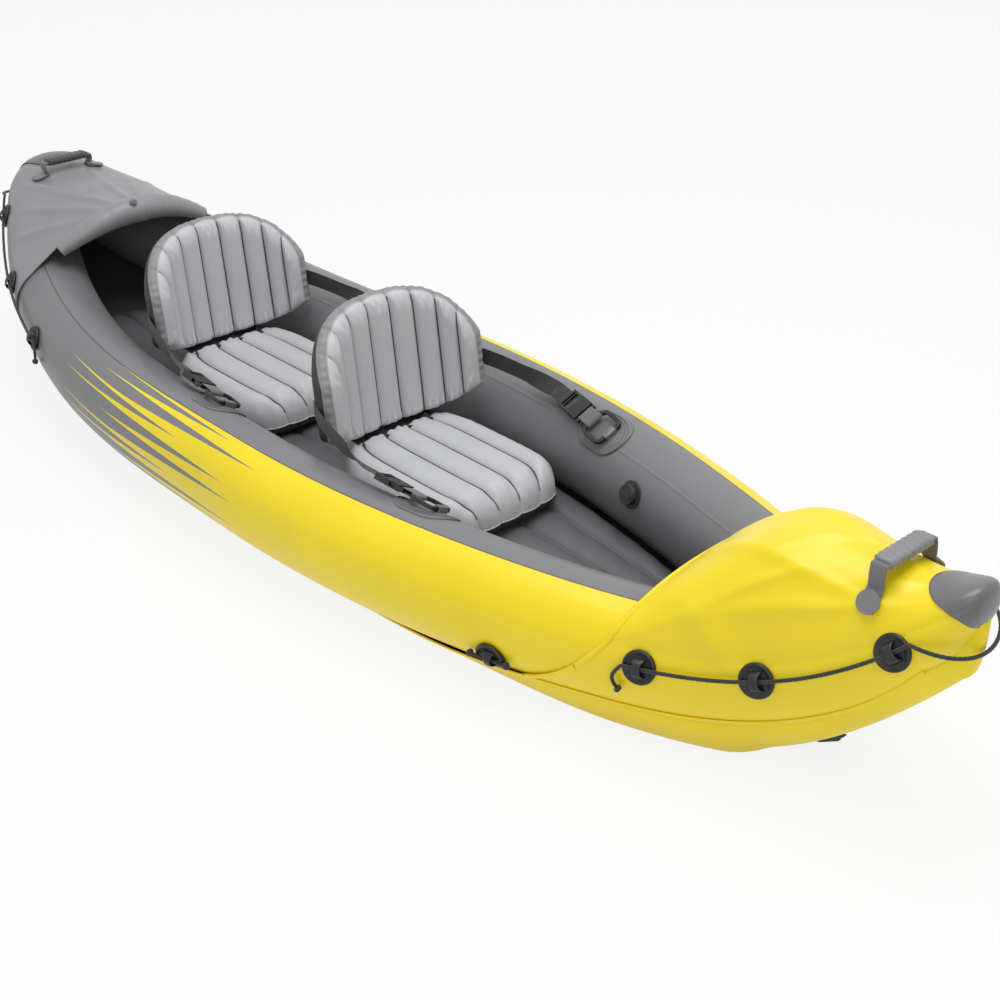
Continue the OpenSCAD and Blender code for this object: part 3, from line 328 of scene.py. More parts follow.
def rounded_tip(points, out):
    """Closes the last row to its middle along a quarter ellipse that reaches out metres further in X."""
    last = points[-1]
    mid = last.mean(0)
    turn = np.radians([18, 36, 54, 72, 90])[:, None, None]
    return np.concatenate([points, mid + (last - mid) * np.cos(turn) + np.array([out, 0, 0]) * np.sin(turn)])


def thicken(obj, thickness, lining=0):
    """Gives a sheet its real thickness with a Solidify modifier; its inner side may take the next finish."""
    m = obj.modifiers.new("thickness", "SOLIDIFY")
    m.thickness, m.offset, m.use_even_offset, m.material_offset = thickness, -1.0, True, lining
    return obj


# %% [markdown]
# ## Finishes
# Welded vinyl is smooth but never perfect: a fine leathery grain, slow changes of tone where it
# stretches, and shallow ripples from the air inside. One recipe gives all three from Object-coordinate
# noise, and each finish changes its colour, scale and gloss. Building nodes through a few short helpers
# keeps the recipe readable.

# %% Finish helpers
def add(tree, kind, inputs=None, **settings):
    """Adds one node; an input that is a socket is wired, and any other value is set on the socket itself."""
    node = tree.nodes.new("ShaderNode" + kind)
    for key, value in settings.items():
        setattr(node, key, value)
    for key, value in (inputs or {}).items():
        if isinstance(value, bpy.types.NodeSocket):
            tree.links.new(value, node.inputs[key])
        else:
            node.inputs[key].default_value = value
    return node


def calc(tree, operation, a, b=0.0, clamp=False):
    """One Math node."""
    return add(tree, "Math", {0: a, 1: b}, operation=operation, use_clamp=clamp).outputs[0]


def between(tree, value, low, high):
    """1 where value lies between two limits, else 0."""
    above, below = calc(tree, "GREATER_THAN", value, low), calc(tree, "LESS_THAN", value, high)
    return calc(tree, "MULTIPLY", above, below)


def two_tone(tree, factor, first, second):
    """Mixes two colours by a factor."""
    return add(tree, "Mix", {0: factor, 6: first, 7: second}, data_type="RGBA").outputs[2]


def own_uv(tree):
    """The two values of the piece's own UV map."""
    split = add(tree, "SeparateXYZ", {0: add(tree, "UVMap", uv_map="UVMap").outputs["UV"]})
    return split.outputs["X"], split.outputs["Y"]


def srgb(r, g, b):
    """Turns a colour as seen on a screen, 0 to 255, into the linear light that shaders work in."""
    c = np.array([r, g, b]) / 255.0
    c = np.where(c <= 0.04045, c / 12.92, ((c + 0.055) / 1.055) ** 2.4)
    return (float(c[0]), float(c[1]), float(c[2]), 1.0)


def finish(name, colour, rough=0.45, tone=0.05, grain=(700, 0.12), ripple=(7, 0.25, 0.004), coat=0.0,
           sheen=0.0, paint=None, relief=None):
    """The shared recipe: base colour times a slow noise for tone, roughness varied by a second noise, and
    bumps laid on one another: broad ripples, an optional relief of its own, and a fine grain."""
    material = bpy.data.materials.new(name)
    material.use_nodes = True
    tree = material.node_tree
    tree.nodes.clear()
    where = add(tree, "TexCoord").outputs["Object"]
    slow, broad, fine = (
        add(tree, "TexNoise", {"Vector": where, "Scale": scale, "Detail": detail}).outputs["Fac"]
        for scale, detail in ((3.1, 4.0), (ripple[0], 2.0), (grain[0], 2.0)))
    shade = add(tree, "MapRange", {0: slow, 1: 0.3, 2: 0.7, 3: 1 - tone, 4: 1 + tone}).outputs[0]
    gloss = add(tree, "MapRange", {0: broad, 1: 0.3, 2: 0.7, 3: rough - 0.06, 4: rough + 0.08}).outputs[0]
    base = paint(tree) if paint else colour
    tinted = add(tree, "HueSaturation", {"Color": base, "Value": shade}).outputs[0]
    own = [relief(tree)] if relief else []
    inputs = {"Base Color": tinted, "Roughness": gloss}
    normal = {}
    for height, strength, distance in [(broad, *ripple[1:]), *own, (fine, grain[1], 0.0006)]:
        bump = {"Height": height, "Strength": strength, "Distance": distance}
        normal = {"Normal": add(tree, "Bump", {**bump, **normal}).outputs[0]}
    if coat:
        inputs.update({"Coat Weight": coat, "Coat Roughness": 0.25})
    if sheen:
        inputs["Sheen Weight"] = sheen
    shader = add(tree, "BsdfPrincipled", {**inputs, **normal})
    tree.links.new(shader.outputs[0], add(tree, "OutputMaterial").inputs[0])
    return material


YELLOW, GREY = srgb(243, 218, 12), srgb(119, 119, 122)
SMOOTH = (50, 0.1, 0.001)

# %% [markdown]
# ## Side chambers
# Each side is one long welded tube: dark grey on top and inside, yellow outside, with the colours meeting
# in a seam just outboard of the crown. The tube's own UV map holds length and girth angle, so the colours
# can be painted by position. The outer side carries a plain design of grey points that thin out towards
# the bow.

# %% Chamber finish and tubes
SEAM_A, LOW_A, ROW_A = 12.0, 205.0, 14.5
TUBE_END = 1.574


def girth(tree):
    """Length along the hull and degrees round the tube, read back from the UV map."""
    x, turn = own_uv(tree)
    return x, calc(tree, "MULTIPLY", turn, 360.0)


def chamber_paint(tree):
    """Grey inside the seam; outside it, rows of grey that taper to points, some further forward."""
    x, turn = girth(tree)
    outer = between(tree, turn, SEAM_A, LOW_A)
    row = calc(tree, "DIVIDE", calc(tree, "SUBTRACT", turn, SEAM_A), ROW_A)
    aside = calc(tree, "SUBTRACT", calc(tree, "FRACT", row), 0.5)
    middle = calc(tree, "MULTIPLY", calc(tree, "ABSOLUTE", aside), 2.0)
    wave = calc(tree, "SINE", calc(tree, "MULTIPLY", calc(tree, "FLOOR", row), 2.2))
    tip = calc(tree, "ADD", calc(tree, "MULTIPLY", wave, 0.16), -0.02)
    width = calc(tree, "DIVIDE", calc(tree, "SUBTRACT", tip, x), 0.55, clamp=True)
    points = calc(tree, "LESS_THAN", middle, width)
    dark = calc(tree, "MAXIMUM", calc(tree, "SUBTRACT", 1.0, outer), points)
    seam = between(tree, turn, 11.2, 12.5)
    return two_tone(tree, seam, two_tone(tree, dark, YELLOW, GREY), srgb(62, 62, 64))


def chamber_relief(tree):
    """Raised welds: a bead at the colour seam, one low outside and one low inside."""
    _, turn = girth(tree)
    beads = None
    for at in (SEAM_A, LOW_A, 320.0):
        away = calc(tree, "DIVIDE", calc(tree, "ABSOLUTE", calc(tree, "SUBTRACT", turn, at)), 2.2, clamp=True)
        bead = calc(tree, "SUBTRACT", 1.0, calc(tree, "POWER", away, 2.0))
        beads = bead if beads is None else calc(tree, "MAXIMUM", beads, bead)
    return beads, 0.5, 0.0015


tube_vinyl = finish("tube_vinyl", YELLOW, rough=0.42, paint=chamber_paint, relief=chamber_relief, coat=0.12,
                    ripple=(6, 0.22, 0.005))


def tube_grid():
    """Tube skin: stations bunched at the ends by a sine, each a squashed circle that closes at the tips."""
    x = TUBE_END * np.sin(np.linspace(-np.pi / 2, np.pi / 2, 221))[:, None]
    a = np.linspace(0, 360, 97)[None]
    points = hull_point(x, a[:, :-1], 0.0, full_r(x) * closing(x, TUBE_END))
    points[..., 1] = np.maximum(points[..., 1], 0.0008)
    return grid(points, wrap=True, uv=join(x, a / 360), ends=True)


for side_name, g in zip(SIDES, pair(tube_grid())):
    surface(side_name + "_tube", [g], [tube_vinyl], replaces=[side_name + "_chamber"])

# %% [markdown]
# ## Hull bottom
# One sheet closes the boat from flank to flank and turns up at the bow into a narrow stem. It is a grid
# across the keel and up both flanks, thickened with Solidify.

# %% Bottom sheet
FOOT, STEM, STEM_Z = 1.195, 1.562, 0.296
SHEET_END, TUCK_X = 1.583, 1.52


def keel_z(x):
    """Height of the keel: the tube's rise aft, a power curve up the forefoot, a quarter turn at the stem."""
    fore = STEM_Z * (np.clip(x - FOOT, 0, STEM - FOOT) / (STEM - FOOT)) ** 1.5
    lip = np.clip((x - STEM) / 0.023, 0, 1)
    top = TUBE_Z + rise(np.array(BOW)) - 0.026
    return np.where(x < 0, rise(x), np.where(x < STEM, fore, mix(STEM_Z, top, 1 - np.sqrt(1 - lip * lip))))


def lap_angle(x):
    """Where on the tube the flange ends: low amidships, higher up the flanks, tucked under at the tips."""
    angle = mix(165.0, np.where(x < 0, 140.0, 124.0), ramp((np.abs(x) - 0.3) / 0.7))
    return mix(angle, 156.0, ramp((np.abs(x) - TUCK_X) / 0.05))


def bottom_grid():
    """Flat across the keel, then a rising curve out to the flange that laps the tube's flank. At the bow the
    flat ends in a quarter ellipse and the sides turn hollow, from a square to a steeper power."""
    x = (SHEET_END * np.sin(np.linspace(-np.pi / 2, np.pi / 2, 181)))[:, None]
    u = np.linspace(-1, 1, 81)[None]
    reach = mix(-0.1, np.where(x < 0, -0.1, 0.02), ramp((np.abs(x) - 0.3) / 0.7))
    nose = np.sqrt(np.maximum(0, 1 - (np.maximum(0, x - 1.0) / 0.25) ** 2))
    half = np.maximum(0.004, (line_y(x) + reach) * nose)
    edge = hull_point(x, lap_angle(x), mix(0.0084, 0.0025, ramp((np.abs(x) - TUCK_X) / 0.04)))
    w = np.maximum(0, 2 * np.abs(u) - 1)
    y = np.where(np.abs(u) <= 0.5, 2 * u * half, np.sign(u) * mix(half, edge[..., 1], w))
    hollow = w ** mix(2.0, 3.3, ramp((x - 1.0) / 0.25))
    z = np.where(np.abs(u) <= 0.5, keel_z(x), mix(keel_z(x), edge[..., 2], hollow))
    return join(x, y, z)


def bottom_paint(tree):
    """Yellow forward and grey aft, split across the length."""
    split = add(tree, "SeparateXYZ", {0: add(tree, "TexCoord").outputs["Object"]})
    return two_tone(tree, calc(tree, "LESS_THAN", split.outputs["X"], -0.52), YELLOW, GREY)


bottom_lining = finish("bottom_lining", srgb(70, 70, 73), rough=0.5, grain=(420, 0.25))
bottom_vinyl = finish("bottom_vinyl", YELLOW, rough=0.48, paint=bottom_paint, grain=(420, 0.25))
sheet = bottom_grid()
obj = surface("bottom_sheet", [grid(capped(sheet))], [bottom_vinyl, bottom_lining],
              replaces=["hull_bottom"], inside=(0, 0, 0.4))
thicken(obj, BOTTOM_T, lining=1)

# %% [markdown]
# ## Ribbed floor
# The floor is an air mattress: flat tubes side by side, held down by welded webs, so its top is a row of
# low arches. The profile is a scalloped top and a flat underside, carried along the hull and closed at
# both ends.

# %% Floor
FLOOR_AFT, FLOOR_FORE, FLOOR_H, FLOOR_LIFT = -1.15, 1.13, 0.088, 0.005


def arch(v, count):
    """Height of a half circle repeated count times across v from -1 to 1."""
    c = 2 * np.mod((v + 1) / 2 * count, 1.0) - 1
    return np.sqrt(np.clip(1 - c * c, 0, 1))


def floor_full(x):
    """How full the floor is along its length: a flat curve that falls off at the ends."""
    s = np.clip(2 * (x - FLOOR_AFT) / (FLOOR_FORE - FLOOR_AFT) - 1, -1, 1)
    return 0.25 + 0.75 * np.sqrt(1 - np.abs(s) ** 8)


def floor_top(x):
    """Height of the floor's crests above the ground."""
    return keel_z(x) + FLOOR_LIFT + FLOOR_H * floor_full(x)


def floor_grid():
    """Scalloped top from side to side, then back along the flat underside."""
    x = mix(FLOOR_AFT, FLOOR_FORE, (np.sin(np.linspace(-np.pi / 2, np.pi / 2, 161)) + 1) / 2)[:, None]
    over, under = np.linspace(-1, 1, 121), np.linspace(1, -1, 41)[1:-1]
    v = np.concatenate([over, under])[None]
    top = np.arange(v.shape[1])[None] < len(over)
    half = np.maximum(0.020, line_y(x) - 0.090)
    edge = np.sqrt(np.clip(1 - np.abs(v) ** 14, 0, 1))
    pucker = 0.0012 * np.sin(x * 61 + 9 * v) * np.sin(x * 23 - 4 * v)
    height = (FLOOR_H * floor_full(x) - 0.013 * (1 - arch(v, 5)) + pucker) * mix(0.55, 1.0, edge)
    z = keel_z(x) + FLOOR_LIFT + np.where(top, height, 0.0)
    return join(x, v * half, z)


floor_vinyl = finish("floor_vinyl", srgb(91, 91, 94), rough=0.46, grain=(520, 0.2), ripple=(16, 0.3, 0.003))
surface("floor_mattress", [grid(floor_grid(), wrap=True, ends=True)], [floor_vinyl],
        replaces=["inflatable_floor"])

# %% [markdown]
# ## Spray decks
# A deck is a sheet pulled over the ends and welded to the flanks. Its section bends from the ridge down
# to the tube's shoulder and then follows the tube. Pulled vinyl folds, so a short table of folds, each a
# ridge with a length and a width, is added along the sheet's normals.

# %% Deck sections
CREST, STERN_OPEN, DECK_TIP = BOW - 0.300, STERN - 0.510, BOW - 0.006


def hood_z(x):
    """Height of the ridge: at the bow a parabola aft of the crest and a straight dip ahead of it, at the
    stern a straight climb."""
    bow = 0.446 - 0.130 * (np.maximum(0, CREST - x) / 0.24) ** 2 - 0.04 * np.maximum(0, x - CREST)
    return np.where(x > 0, bow, 0.462 + 0.03 * (-x - STERN_OPEN))


def deck_section(x, q, off):
    """Across the deck, q from -1 to 1: a quadratic curve from ridge to shoulder, then round the flank."""
    x, q = np.broadcast_arrays(np.asarray(x, float), np.asarray(q, float))
    u = np.abs(q)
    tube_top = TUBE_Z + rise(x) + SQUASH * full_r(x) * closing(x) + off
    open_top = TUBE_Z + rise(x) + SQUASH * full_r(x) + off
    z = tube_top + soft(hood_z(x) + off - open_top, 0.024) * closing(x) ** 2
    leave = np.where(x > 0, 60.0, mix(38.0, 60.0, ramp((-x - STERN_OPEN) / 0.3)))
    lean = np.where(x > 0, 12.0, 90.0 - leave)
    p = hull_point(x, leave, off)
    bend = np.maximum(0, p[..., 1] - (z - p[..., 2]) * np.tan(np.radians(lean)))
    t = np.clip(2 * u, 0, 1)
    y = 2 * t * (1 - t) * bend + t * t * p[..., 1]
    zz = (1 - t) ** 2 * z + 2 * t * (1 - t) * z + t * t * p[..., 2]
    tuck = ramp((np.abs(x) - 1.49) / 0.06)
    low = 130.0 + 50.0 * tuck
    down = np.clip(2 * u - 1, 0, 1)
    flank = hull_point(x, mix(leave, low, down), off)
    flank[..., 1] -= line_y(x) * ramp(2 * down - 1) * tuck
    out = np.where((u <= 0.5)[..., None], join(x, y, zz), flank)
    return out * join(np.ones_like(q), np.where(q < 0, -1.0, 1.0), np.ones_like(q))


def deck_edge(way, q):
    """Length at which the deck starts: swept aft at the bow, swept towards the tip at the stern."""
    return 1.035 - 0.20 * np.abs(q) ** 3 if way > 0 else STERN_OPEN + 0.09 * np.abs(q) ** 1.6


def folded(points, s, q, table):
    """Lifts a grid along its normals by folds: Gaussian across a line and along it, flat at the hem."""
    s0, q0, turn, length, width, height = (np.array(c)[:, None, None] for c in zip(*table))
    ds, dq = s[None] - s0, q[None] - q0
    a = np.cos(turn) * ds + np.sin(turn) * dq
    b = -np.sin(turn) * ds + np.cos(turn) * dq
    lift = (height * np.exp(-(a / length) ** 2 - (b / width) ** 2)).sum(0) * ramp(s / 0.07)
    n = normals(points)
    n *= np.sign((n * (points - np.array([points[..., 0].mean(), 0, 0.2]))).sum(-1, keepdims=True))
    return points + n * lift[..., None]


def deck_sheet(way, table):
    """Rows from the open edge to the tip, bunched at the tip by a sine; columns from flank to flank."""
    s, q = lattice(111, 161)
    x = mix(deck_edge(way, q), DECK_TIP, np.sin(np.pi / 2 * s))
    return folded(deck_section(way * x, q, DECK_OFF), s, q, table)


# %% Bow and stern deck
bow_folds = [(0.16, 0.05, 0.5, 0.22, 0.032, 0.0065), (0.20, -0.16, -0.4, 0.28, 0.028, 0.0075),
             (0.28, 0.22, 0.3, 0.22, 0.028, 0.0060), (0.34, -0.34, 0.2, 0.20, 0.028, 0.0055),
             (0.16, 0.36, 1.1, 0.20, 0.030, 0.0050), (0.38, 0.05, -0.2, 0.14, 0.024, 0.0050),
             (0.18, -0.42, -0.9, 0.18, 0.026, 0.0055), (0.30, -0.05, 0.9, 0.16, 0.022, 0.0050),
             (0.24, -0.28, 0.7, 0.14, 0.020, 0.0050), (0.52, -0.15, 0.6, 0.10, 0.030, 0.0025)]
stern_folds = [(0.10, 0.02, 0.15, 0.22, 0.020, 0.0075), (0.12, 0.12, 0.35, 0.22, 0.020, 0.0075),
               (0.12, -0.11, -0.30, 0.22, 0.020, 0.0075), (0.12, 0.22, 0.55, 0.20, 0.018, 0.0060),
               (0.14, -0.22, -0.55, 0.20, 0.020, 0.0070), (0.10, 0.33, 0.8, 0.16, 0.020, 0.0055),
               (0.12, -0.34, -0.8, 0.16, 0.020, 0.0060), (0.34, 0.10, 0.9, 0.12, 0.028, 0.0045),
               (0.38, -0.18, -0.7, 0.14, 0.028, 0.0045), (0.50, 0.02, 1.5, 0.16, 0.035, 0.0030)]
deck_yellow = finish("deck_yellow", YELLOW, rough=0.40, coat=0.15, ripple=(9, 0.3, 0.005))
deck_grey = finish("deck_grey", srgb(142, 142, 145), rough=0.42, coat=0.1, ripple=(12, 0.35, 0.005))


for deck, way, table, vinyl, slot in (("bow_deck", 1, bow_folds, deck_yellow, "yellow_vinyl"),
                                      ("stern_deck", -1, stern_folds, deck_grey, "dark_vinyl")):
    sheet = deck_sheet(way, table)
    obj = surface(deck + "_sheet", [grid(rounded_tip(sheet, 0.004 * way))], [vinyl],
                  replaces=[deck], inside=(1.3 * way, 0, 0.25))
    thicken(obj, DECK_T)

# %% [markdown]
# ## Hems, roll and arch
# The bow deck's open edge is stiffened by an inflated roll, and the stern deck opens under an inflated
# arch with its own valve. Both are tubes whose radius changes along a curved path. A welded hem finishes
# each edge.

# %% Roll, arch and hems
def deck_frame(way, q, setback, off):
    """Point on the deck setback metres in from its edge, with the outward normal there."""
    x, step = deck_edge(way, q) + setback, 0.002
    here = deck_section(way * x, q, off)
    run = deck_section(way * (x + step), q, off) - here
    across = deck_section(way * x, q + step, off) - here
    n = unit(np.cross(run, across) * way)
    return here, n * np.where(n[..., 2:] < 0, -1, 1)


ROLL_Q, ARCH_Q = 0.25, 0.38
q = np.linspace(-ROLL_Q, ROLL_Q, 121)
roll_r = 0.025 * (1 - 0.62 * (q / ROLL_Q) ** 2)
at, up = deck_frame(1, q, 0.029, 0.0025)
at = at - up * (roll_r + 0.0048)[:, None]
roll_r = roll_r * (1 + 0.035 * np.sin(q * 140) * np.sin(q * 47))
surface("bow_edge_roll", [tube(at, (1, 0, 0), ring(roll_r, 32))], [deck_yellow],
        replaces=["bow_roll"])

q = np.linspace(-ARCH_Q, ARCH_Q, 161)
arch_r = mix(0.070, 0.036, (q / ARCH_Q) ** 2) / 2
at = deck_section(-deck_edge(-1, q), q, 0.0025)
at = at + join(arch_r + 0.0003, 0 * q, -0.012 * (1 - np.abs(q) / ARCH_Q))
arch_r = arch_r * (1 + 0.02 * np.sin(q * 90) * np.sin(q * 31))
surface("stern_arch_tube", [tube(at, (1, 0, 0), ring(arch_r, 40))], [deck_grey],
        replaces=["stern_visor"])

for hem, way, vinyl in (("bow_hem", 1, deck_yellow), ("stern_hem", -1, deck_grey)):
    q = np.linspace(-0.985, 0.985, 301)
    line, out = deck_frame(way, q, 0.0045, 0.0052)
    surface(hem, [tube(line, out, ring(0.0034, 12) * np.array([1.6, 1.0]))], [vinyl])

# %% Weld bead where the bottom laps the bow's flank
bead_x = np.linspace(0.36, 1.525, 240)
bead_a = lap_angle(bead_x)
bead = hull_point(bead_x, bead_a - 0.6, 0.0072)
bead = tube(bead, bead - hull_point(bead_x, bead_a, -0.02), ring(0.0022, 10) * np.array([2.2, 1.0]))
surface("bow_flank_welds", pair(bead), [deck_yellow])

# %% [markdown]
# ## Tip patches
# A thicker grey patch is welded over each tip, where the tubes, the deck and the bottom meet. It is the
# deck's own section again, a little further out. A ball round the tip cuts the rounded deck in a near
# circle, so each column of the patch starts where the deck enters that ball; repeated halving finds the
# place for all columns.

# %% Patches
patch_vinyl = finish("patch_vinyl", srgb(100, 100, 102), rough=0.34, coat=0.3, ripple=(20, 0.15, 0.002))
PATCH_OFF, PATCH_TIP = 0.0085, BOW - 0.0055
for patch, way, ball, reach in (("nose_patch", 1, (1.550, 0, 0.465), 0.0692),
                                ("stern_patch", -1, (1.540, 0, 0.455), 0.085)):
    s, q = lattice(41, 161)
    low, high = np.full(q.shape[1], 1.40), np.full(q.shape[1], PATCH_TIP)
    for _ in range(24):
        try_x = (low + high) / 2
        away = deck_section(way * try_x, q[0], PATCH_OFF) * np.array([way, 1, 1]) - ball
        ahead = np.linalg.norm(away, axis=-1) < reach
        low, high = np.where(ahead, low, try_x), np.where(ahead, try_x, high)
    x = mix(high[None], PATCH_TIP, np.sin(np.pi / 2 * s))
    points = rounded_tip(deck_section(way * x, q, PATCH_OFF), 0.0075 * way)
    obj = surface(patch + "_cover", [grid(points)], [patch_vinyl], replaces=[patch],
                  inside=(1.45 * way, 0, 0.42))
    thicken(obj, PATCH_T)

# %% [markdown]
# ## Eyelets
# A moulded saddle is a round pad with a raised rim and a bridge over the rope. It is made flat, as a ring
# of profile points turned about its middle, and then bent on to the tube by using its two flat
# coordinates as length and girth angle. Bending by formula means that it fits wherever it is placed.

# %% Eyelets
moulded_black = finish("moulded_black", srgb(24, 24, 26), rough=0.42, grain=(900, 0.2),
                       ripple=(40, 0.1, 0.001), tone=0.08)


def turned(v, angle, axis):
    """Turns vectors by degrees about a coordinate axis."""
    c, s = math.cos(math.radians(angle)), math.sin(math.radians(angle))
    i, j = [(1, 2), (2, 0), (0, 1)][axis]
    v = np.array(v, float)
    out = v.copy()
    out[..., i], out[..., j] = c * v[..., i] - s * v[..., j], s * v[..., i] + c * v[..., j]
    return out


def bent(local, x, a, off):
    """Lays flat points (along, round, up) on the hull at length x and angle a: round is wrapped on a circle
    of the tube's radius, and the result turns with the tube's centre line and the taper of its skin."""
    near = [x - 0.001, x, x + 0.001]
    radius = [float(full_r(v) * closing(v)) for v in near]
    r, tilt = radius[1] + off, math.degrees(math.atan((radius[0] - radius[2]) / (near[2] - near[0])))
    wrap, out = local[..., 1] / r, r + local[..., 2]
    p = join(local[..., 0], out * np.sin(wrap), out * np.cos(wrap) - r)
    d = unit(hull_point(near[2], 0.0, r=0.0) - hull_point(near[0], 0.0, r=0.0))
    slope, yaw = math.degrees(math.asin(d[2])), math.degrees(math.atan2(d[1], d[0]))
    return hull_point(x, a, off) + turned(turned(turned(turned(p, tilt, 1), -a, 0), -slope, 1), yaw, 2)


pad_profile = np.array([(0.000, 0.0034), (0.010, 0.0034), (0.020, 0.0028), (0.0245, 0.0032),
                        (0.0262, 0.0052), (0.0286, 0.0058), (0.0308, 0.0046), (0.0320, 0.0022),
                        (0.0320, -0.0012), (0.000, -0.0012)])


def eyelet_grids(x, a, off):
    """Pad: the profile turned about its middle. Bridge: a rounded bar carried over a hoop above the rope."""
    t = circle(64)
    r, z = pad_profile[:, 0, None], pad_profile[:, 1, None]
    pad = join(r * np.cos(t), r * np.sin(t), z)
    s = np.linspace(-1, 1, 41)
    hoop = join(0 * s, 0.0165 * power(s, 0.8), 0.002 + 0.0140 * (1 - np.abs(s) ** 2.6))
    width = mix(0.0075, 0.0135, np.abs(s) ** 2)
    c = circle(20)
    section = join(power(np.cos(c), 0.6), np.sin(c))
    profile = section[None] * join(width, 0 * width + 0.0019)[:, None]
    bridge = sweep(hoop, (1, 0, 0), profile[..., ::-1])
    return [grid(bent(pad, x, a, off), wrap=True), grid(bent(bridge, x, a, off), wrap=True, ends=True)]


def stern_off(x):
    """Height of what the stern line lies on: bare tube first, then the deck's flank."""
    return mix(TUBE_OFF, DECK_OFF, ramp((x - 0.967) / 0.191))


EYELET, LIFT = 0.0029, 0.00885
LINE_A, SIDE_A, SIDE_X = 75.0, 114.0, 0.785
BOW_XS, STERN_XS = (1.085, 1.282, 1.483), (0.935, 1.190, 1.440)
for eyelets, way, places in (("bow_eyelets", 1, BOW_XS), ("stern_eyelets", -1, STERN_XS),
                             ("side_eyelets", 0, (SIDE_X,))):
    parts = []
    for at_x in places:
        off = EYELET + (DECK_OFF if way > 0 else TUBE_OFF if way == 0 else float(stern_off(np.array(at_x))))
        for g in eyelet_grids((way or 1) * at_x, LINE_A if way else SIDE_A, off):
            parts += pair(g)
    surface(eyelets + "_moulded", parts, [moulded_black], replaces=[eyelets])

# %% [markdown]
# ## Grab lines
# The black line is laid from three strands. A twist shows as three lobes that turn along the length, so
# the tube's radius is a three-lobed function of angle plus distance. The path is asked of the hull,
# through the eyelets and round the tip, and each end lies on the flank in a short hook with a knot.

# %% Rope
def weave_of(tree, along_scale, across_scale):
    """Crossed threads from the UV map: two sine waves, one along and one across, multiplied."""
    u, v = own_uv(tree)
    a = calc(tree, "SINE", calc(tree, "MULTIPLY", u, along_scale))
    b = calc(tree, "SINE", calc(tree, "MULTIPLY", v, across_scale))
    return calc(tree, "MULTIPLY", a, b)


rope_black = finish("rope_black", srgb(18, 18, 20), rough=0.62, sheen=0.3, grain=(1500, 0.5),
                    ripple=(60, 0.2, 0.001), tone=0.15,
                    relief=lambda tree: (weave_of(tree, 2600.0, 120.0), 0.35, 0.0006))


def rope_half(way, start):
    """From the end's hook, along the flank through the eyelets, and a quarter turn round the tip."""
    def over(x, a):
        return hull_point(way * x, a, (DECK_OFF if way > 0 else stern_off(x)) + EYELET + LIFT)
    first, last = start - 0.026, BOW - 0.075
    k = np.linspace(1, 0, 15)
    hook = over(first - 0.014 * np.sin(np.pi * k), LINE_A + 23 * k)
    run = over(np.linspace(first, last, 60)[1:], LINE_A + np.zeros(59))
    a = run[-1]
    tip = np.array([way * (BOW + ROPE_R), 0, hull_point(way * last, LINE_A, 0.0)[2] - 0.018])
    g = np.linspace(0, np.pi / 2, 25)[1:]
    drop = mix(a[2], tip[2], ramp(g * 2 / np.pi))
    turn = join(mix(a[0], tip[0], np.sin(g)), a[1] * np.cos(g), drop)
    return np.concatenate([hook, run, turn])


ROPE_R, ROPE_LAY, LINE_KNOT, LASH_KNOT = 0.0038, 0.028, 0.0048, 0.005


def laid_rope(path):
    """Three strands: the radius dips between lobes that turn once in each lay length."""
    path, run = resample(path, 0.0022)
    x, y, _ = path.T
    core = join(np.clip(x, -1.45, 1.45), np.sign(y) * line_y(x) * 0.9, TUBE_Z + rise(x))
    t = circle(24)
    lobes = ROPE_R * (0.80 + 0.20 * np.abs(np.cos(1.5 * (t[None] - 2 * np.pi * run[:, None] / ROPE_LAY))))
    profile = lobes[..., None] * join(np.cos(t), np.sin(t))[None]
    uv = join(run[:, None], np.linspace(0, 1, 25)[None])
    return tube(path, path - core, profile, uv)


def knot(at, axis, size):
    """A small round of rope pulled tight: a fat torus about the line's direction."""
    u, v = np.meshgrid(circle(36), circle(18), indexing="ij")
    axis = unit(np.asarray(axis, float))
    e1 = unit(np.cross(axis, (0.2, 0.1, 1.0)))
    e2 = np.cross(axis, e1)
    r = size * (1.0 + 0.55 * np.cos(v)) * (1 + 0.06 * np.cos(3 * u + 2 * v))
    points = (np.asarray(at) + (r * np.cos(u))[..., None] * e1 + (r * np.sin(u))[..., None] * e2
              + (size * 0.9 * np.sin(v))[..., None] * axis)
    return grid(np.concatenate([points, points[:1]]), wrap=True)


for line, way, start in (("bow_grab_line", 1, BOW_XS[0]), ("stern_grab_line", -1, STERN_XS[0])):
    half = rope_half(way, start)
    whole = np.concatenate([half, starboard(half)[::-1][1:]])
    rope = [laid_rope(whole)]
    for end in (half, starboard(half)):
        rope += [knot(end[1], end[2] - end[0], LINE_KNOT)]
    surface(line + "_laid", rope, [rope_black], replaces=[line])

lash = []
port_path = hull_point(SIDE_X + np.linspace(-0.046, 0.046, 30), SIDE_A, TUBE_OFF + EYELET + LIFT)
for path in (port_path, starboard(port_path)):
    lash += [laid_rope(path), knot(path[2], path[3] - path[0], LASH_KNOT),
             knot(path[-3], path[-1] - path[-4], LASH_KNOT)]
surface("side_lashings_laid", lash, [rope_black], replaces=["side_lashings"])

# %% [markdown]
# ## Webbing
# Straps and handles are flat woven tape with rounded edges. A flat profile is carried along a path with
# its width turned to lie on what it touches, and the weave comes from the strip's own UV map, so threads
# follow it. A seat strap's doubled end rides on its buckle tongue and slides over the rest of the strap.

# %% Straps
def webbing_finish(name, colour):
    """Woven tape: fine crossed threads, matt, with a slight sheen."""
    return finish(name, colour, rough=0.68, sheen=0.25, grain=(1400, 0.35), ripple=(30, 0.1, 0.001), tone=0.1,
                  relief=lambda tree: (weave_of(tree, 2100.0, 80.0), 0.6, 0.0008))


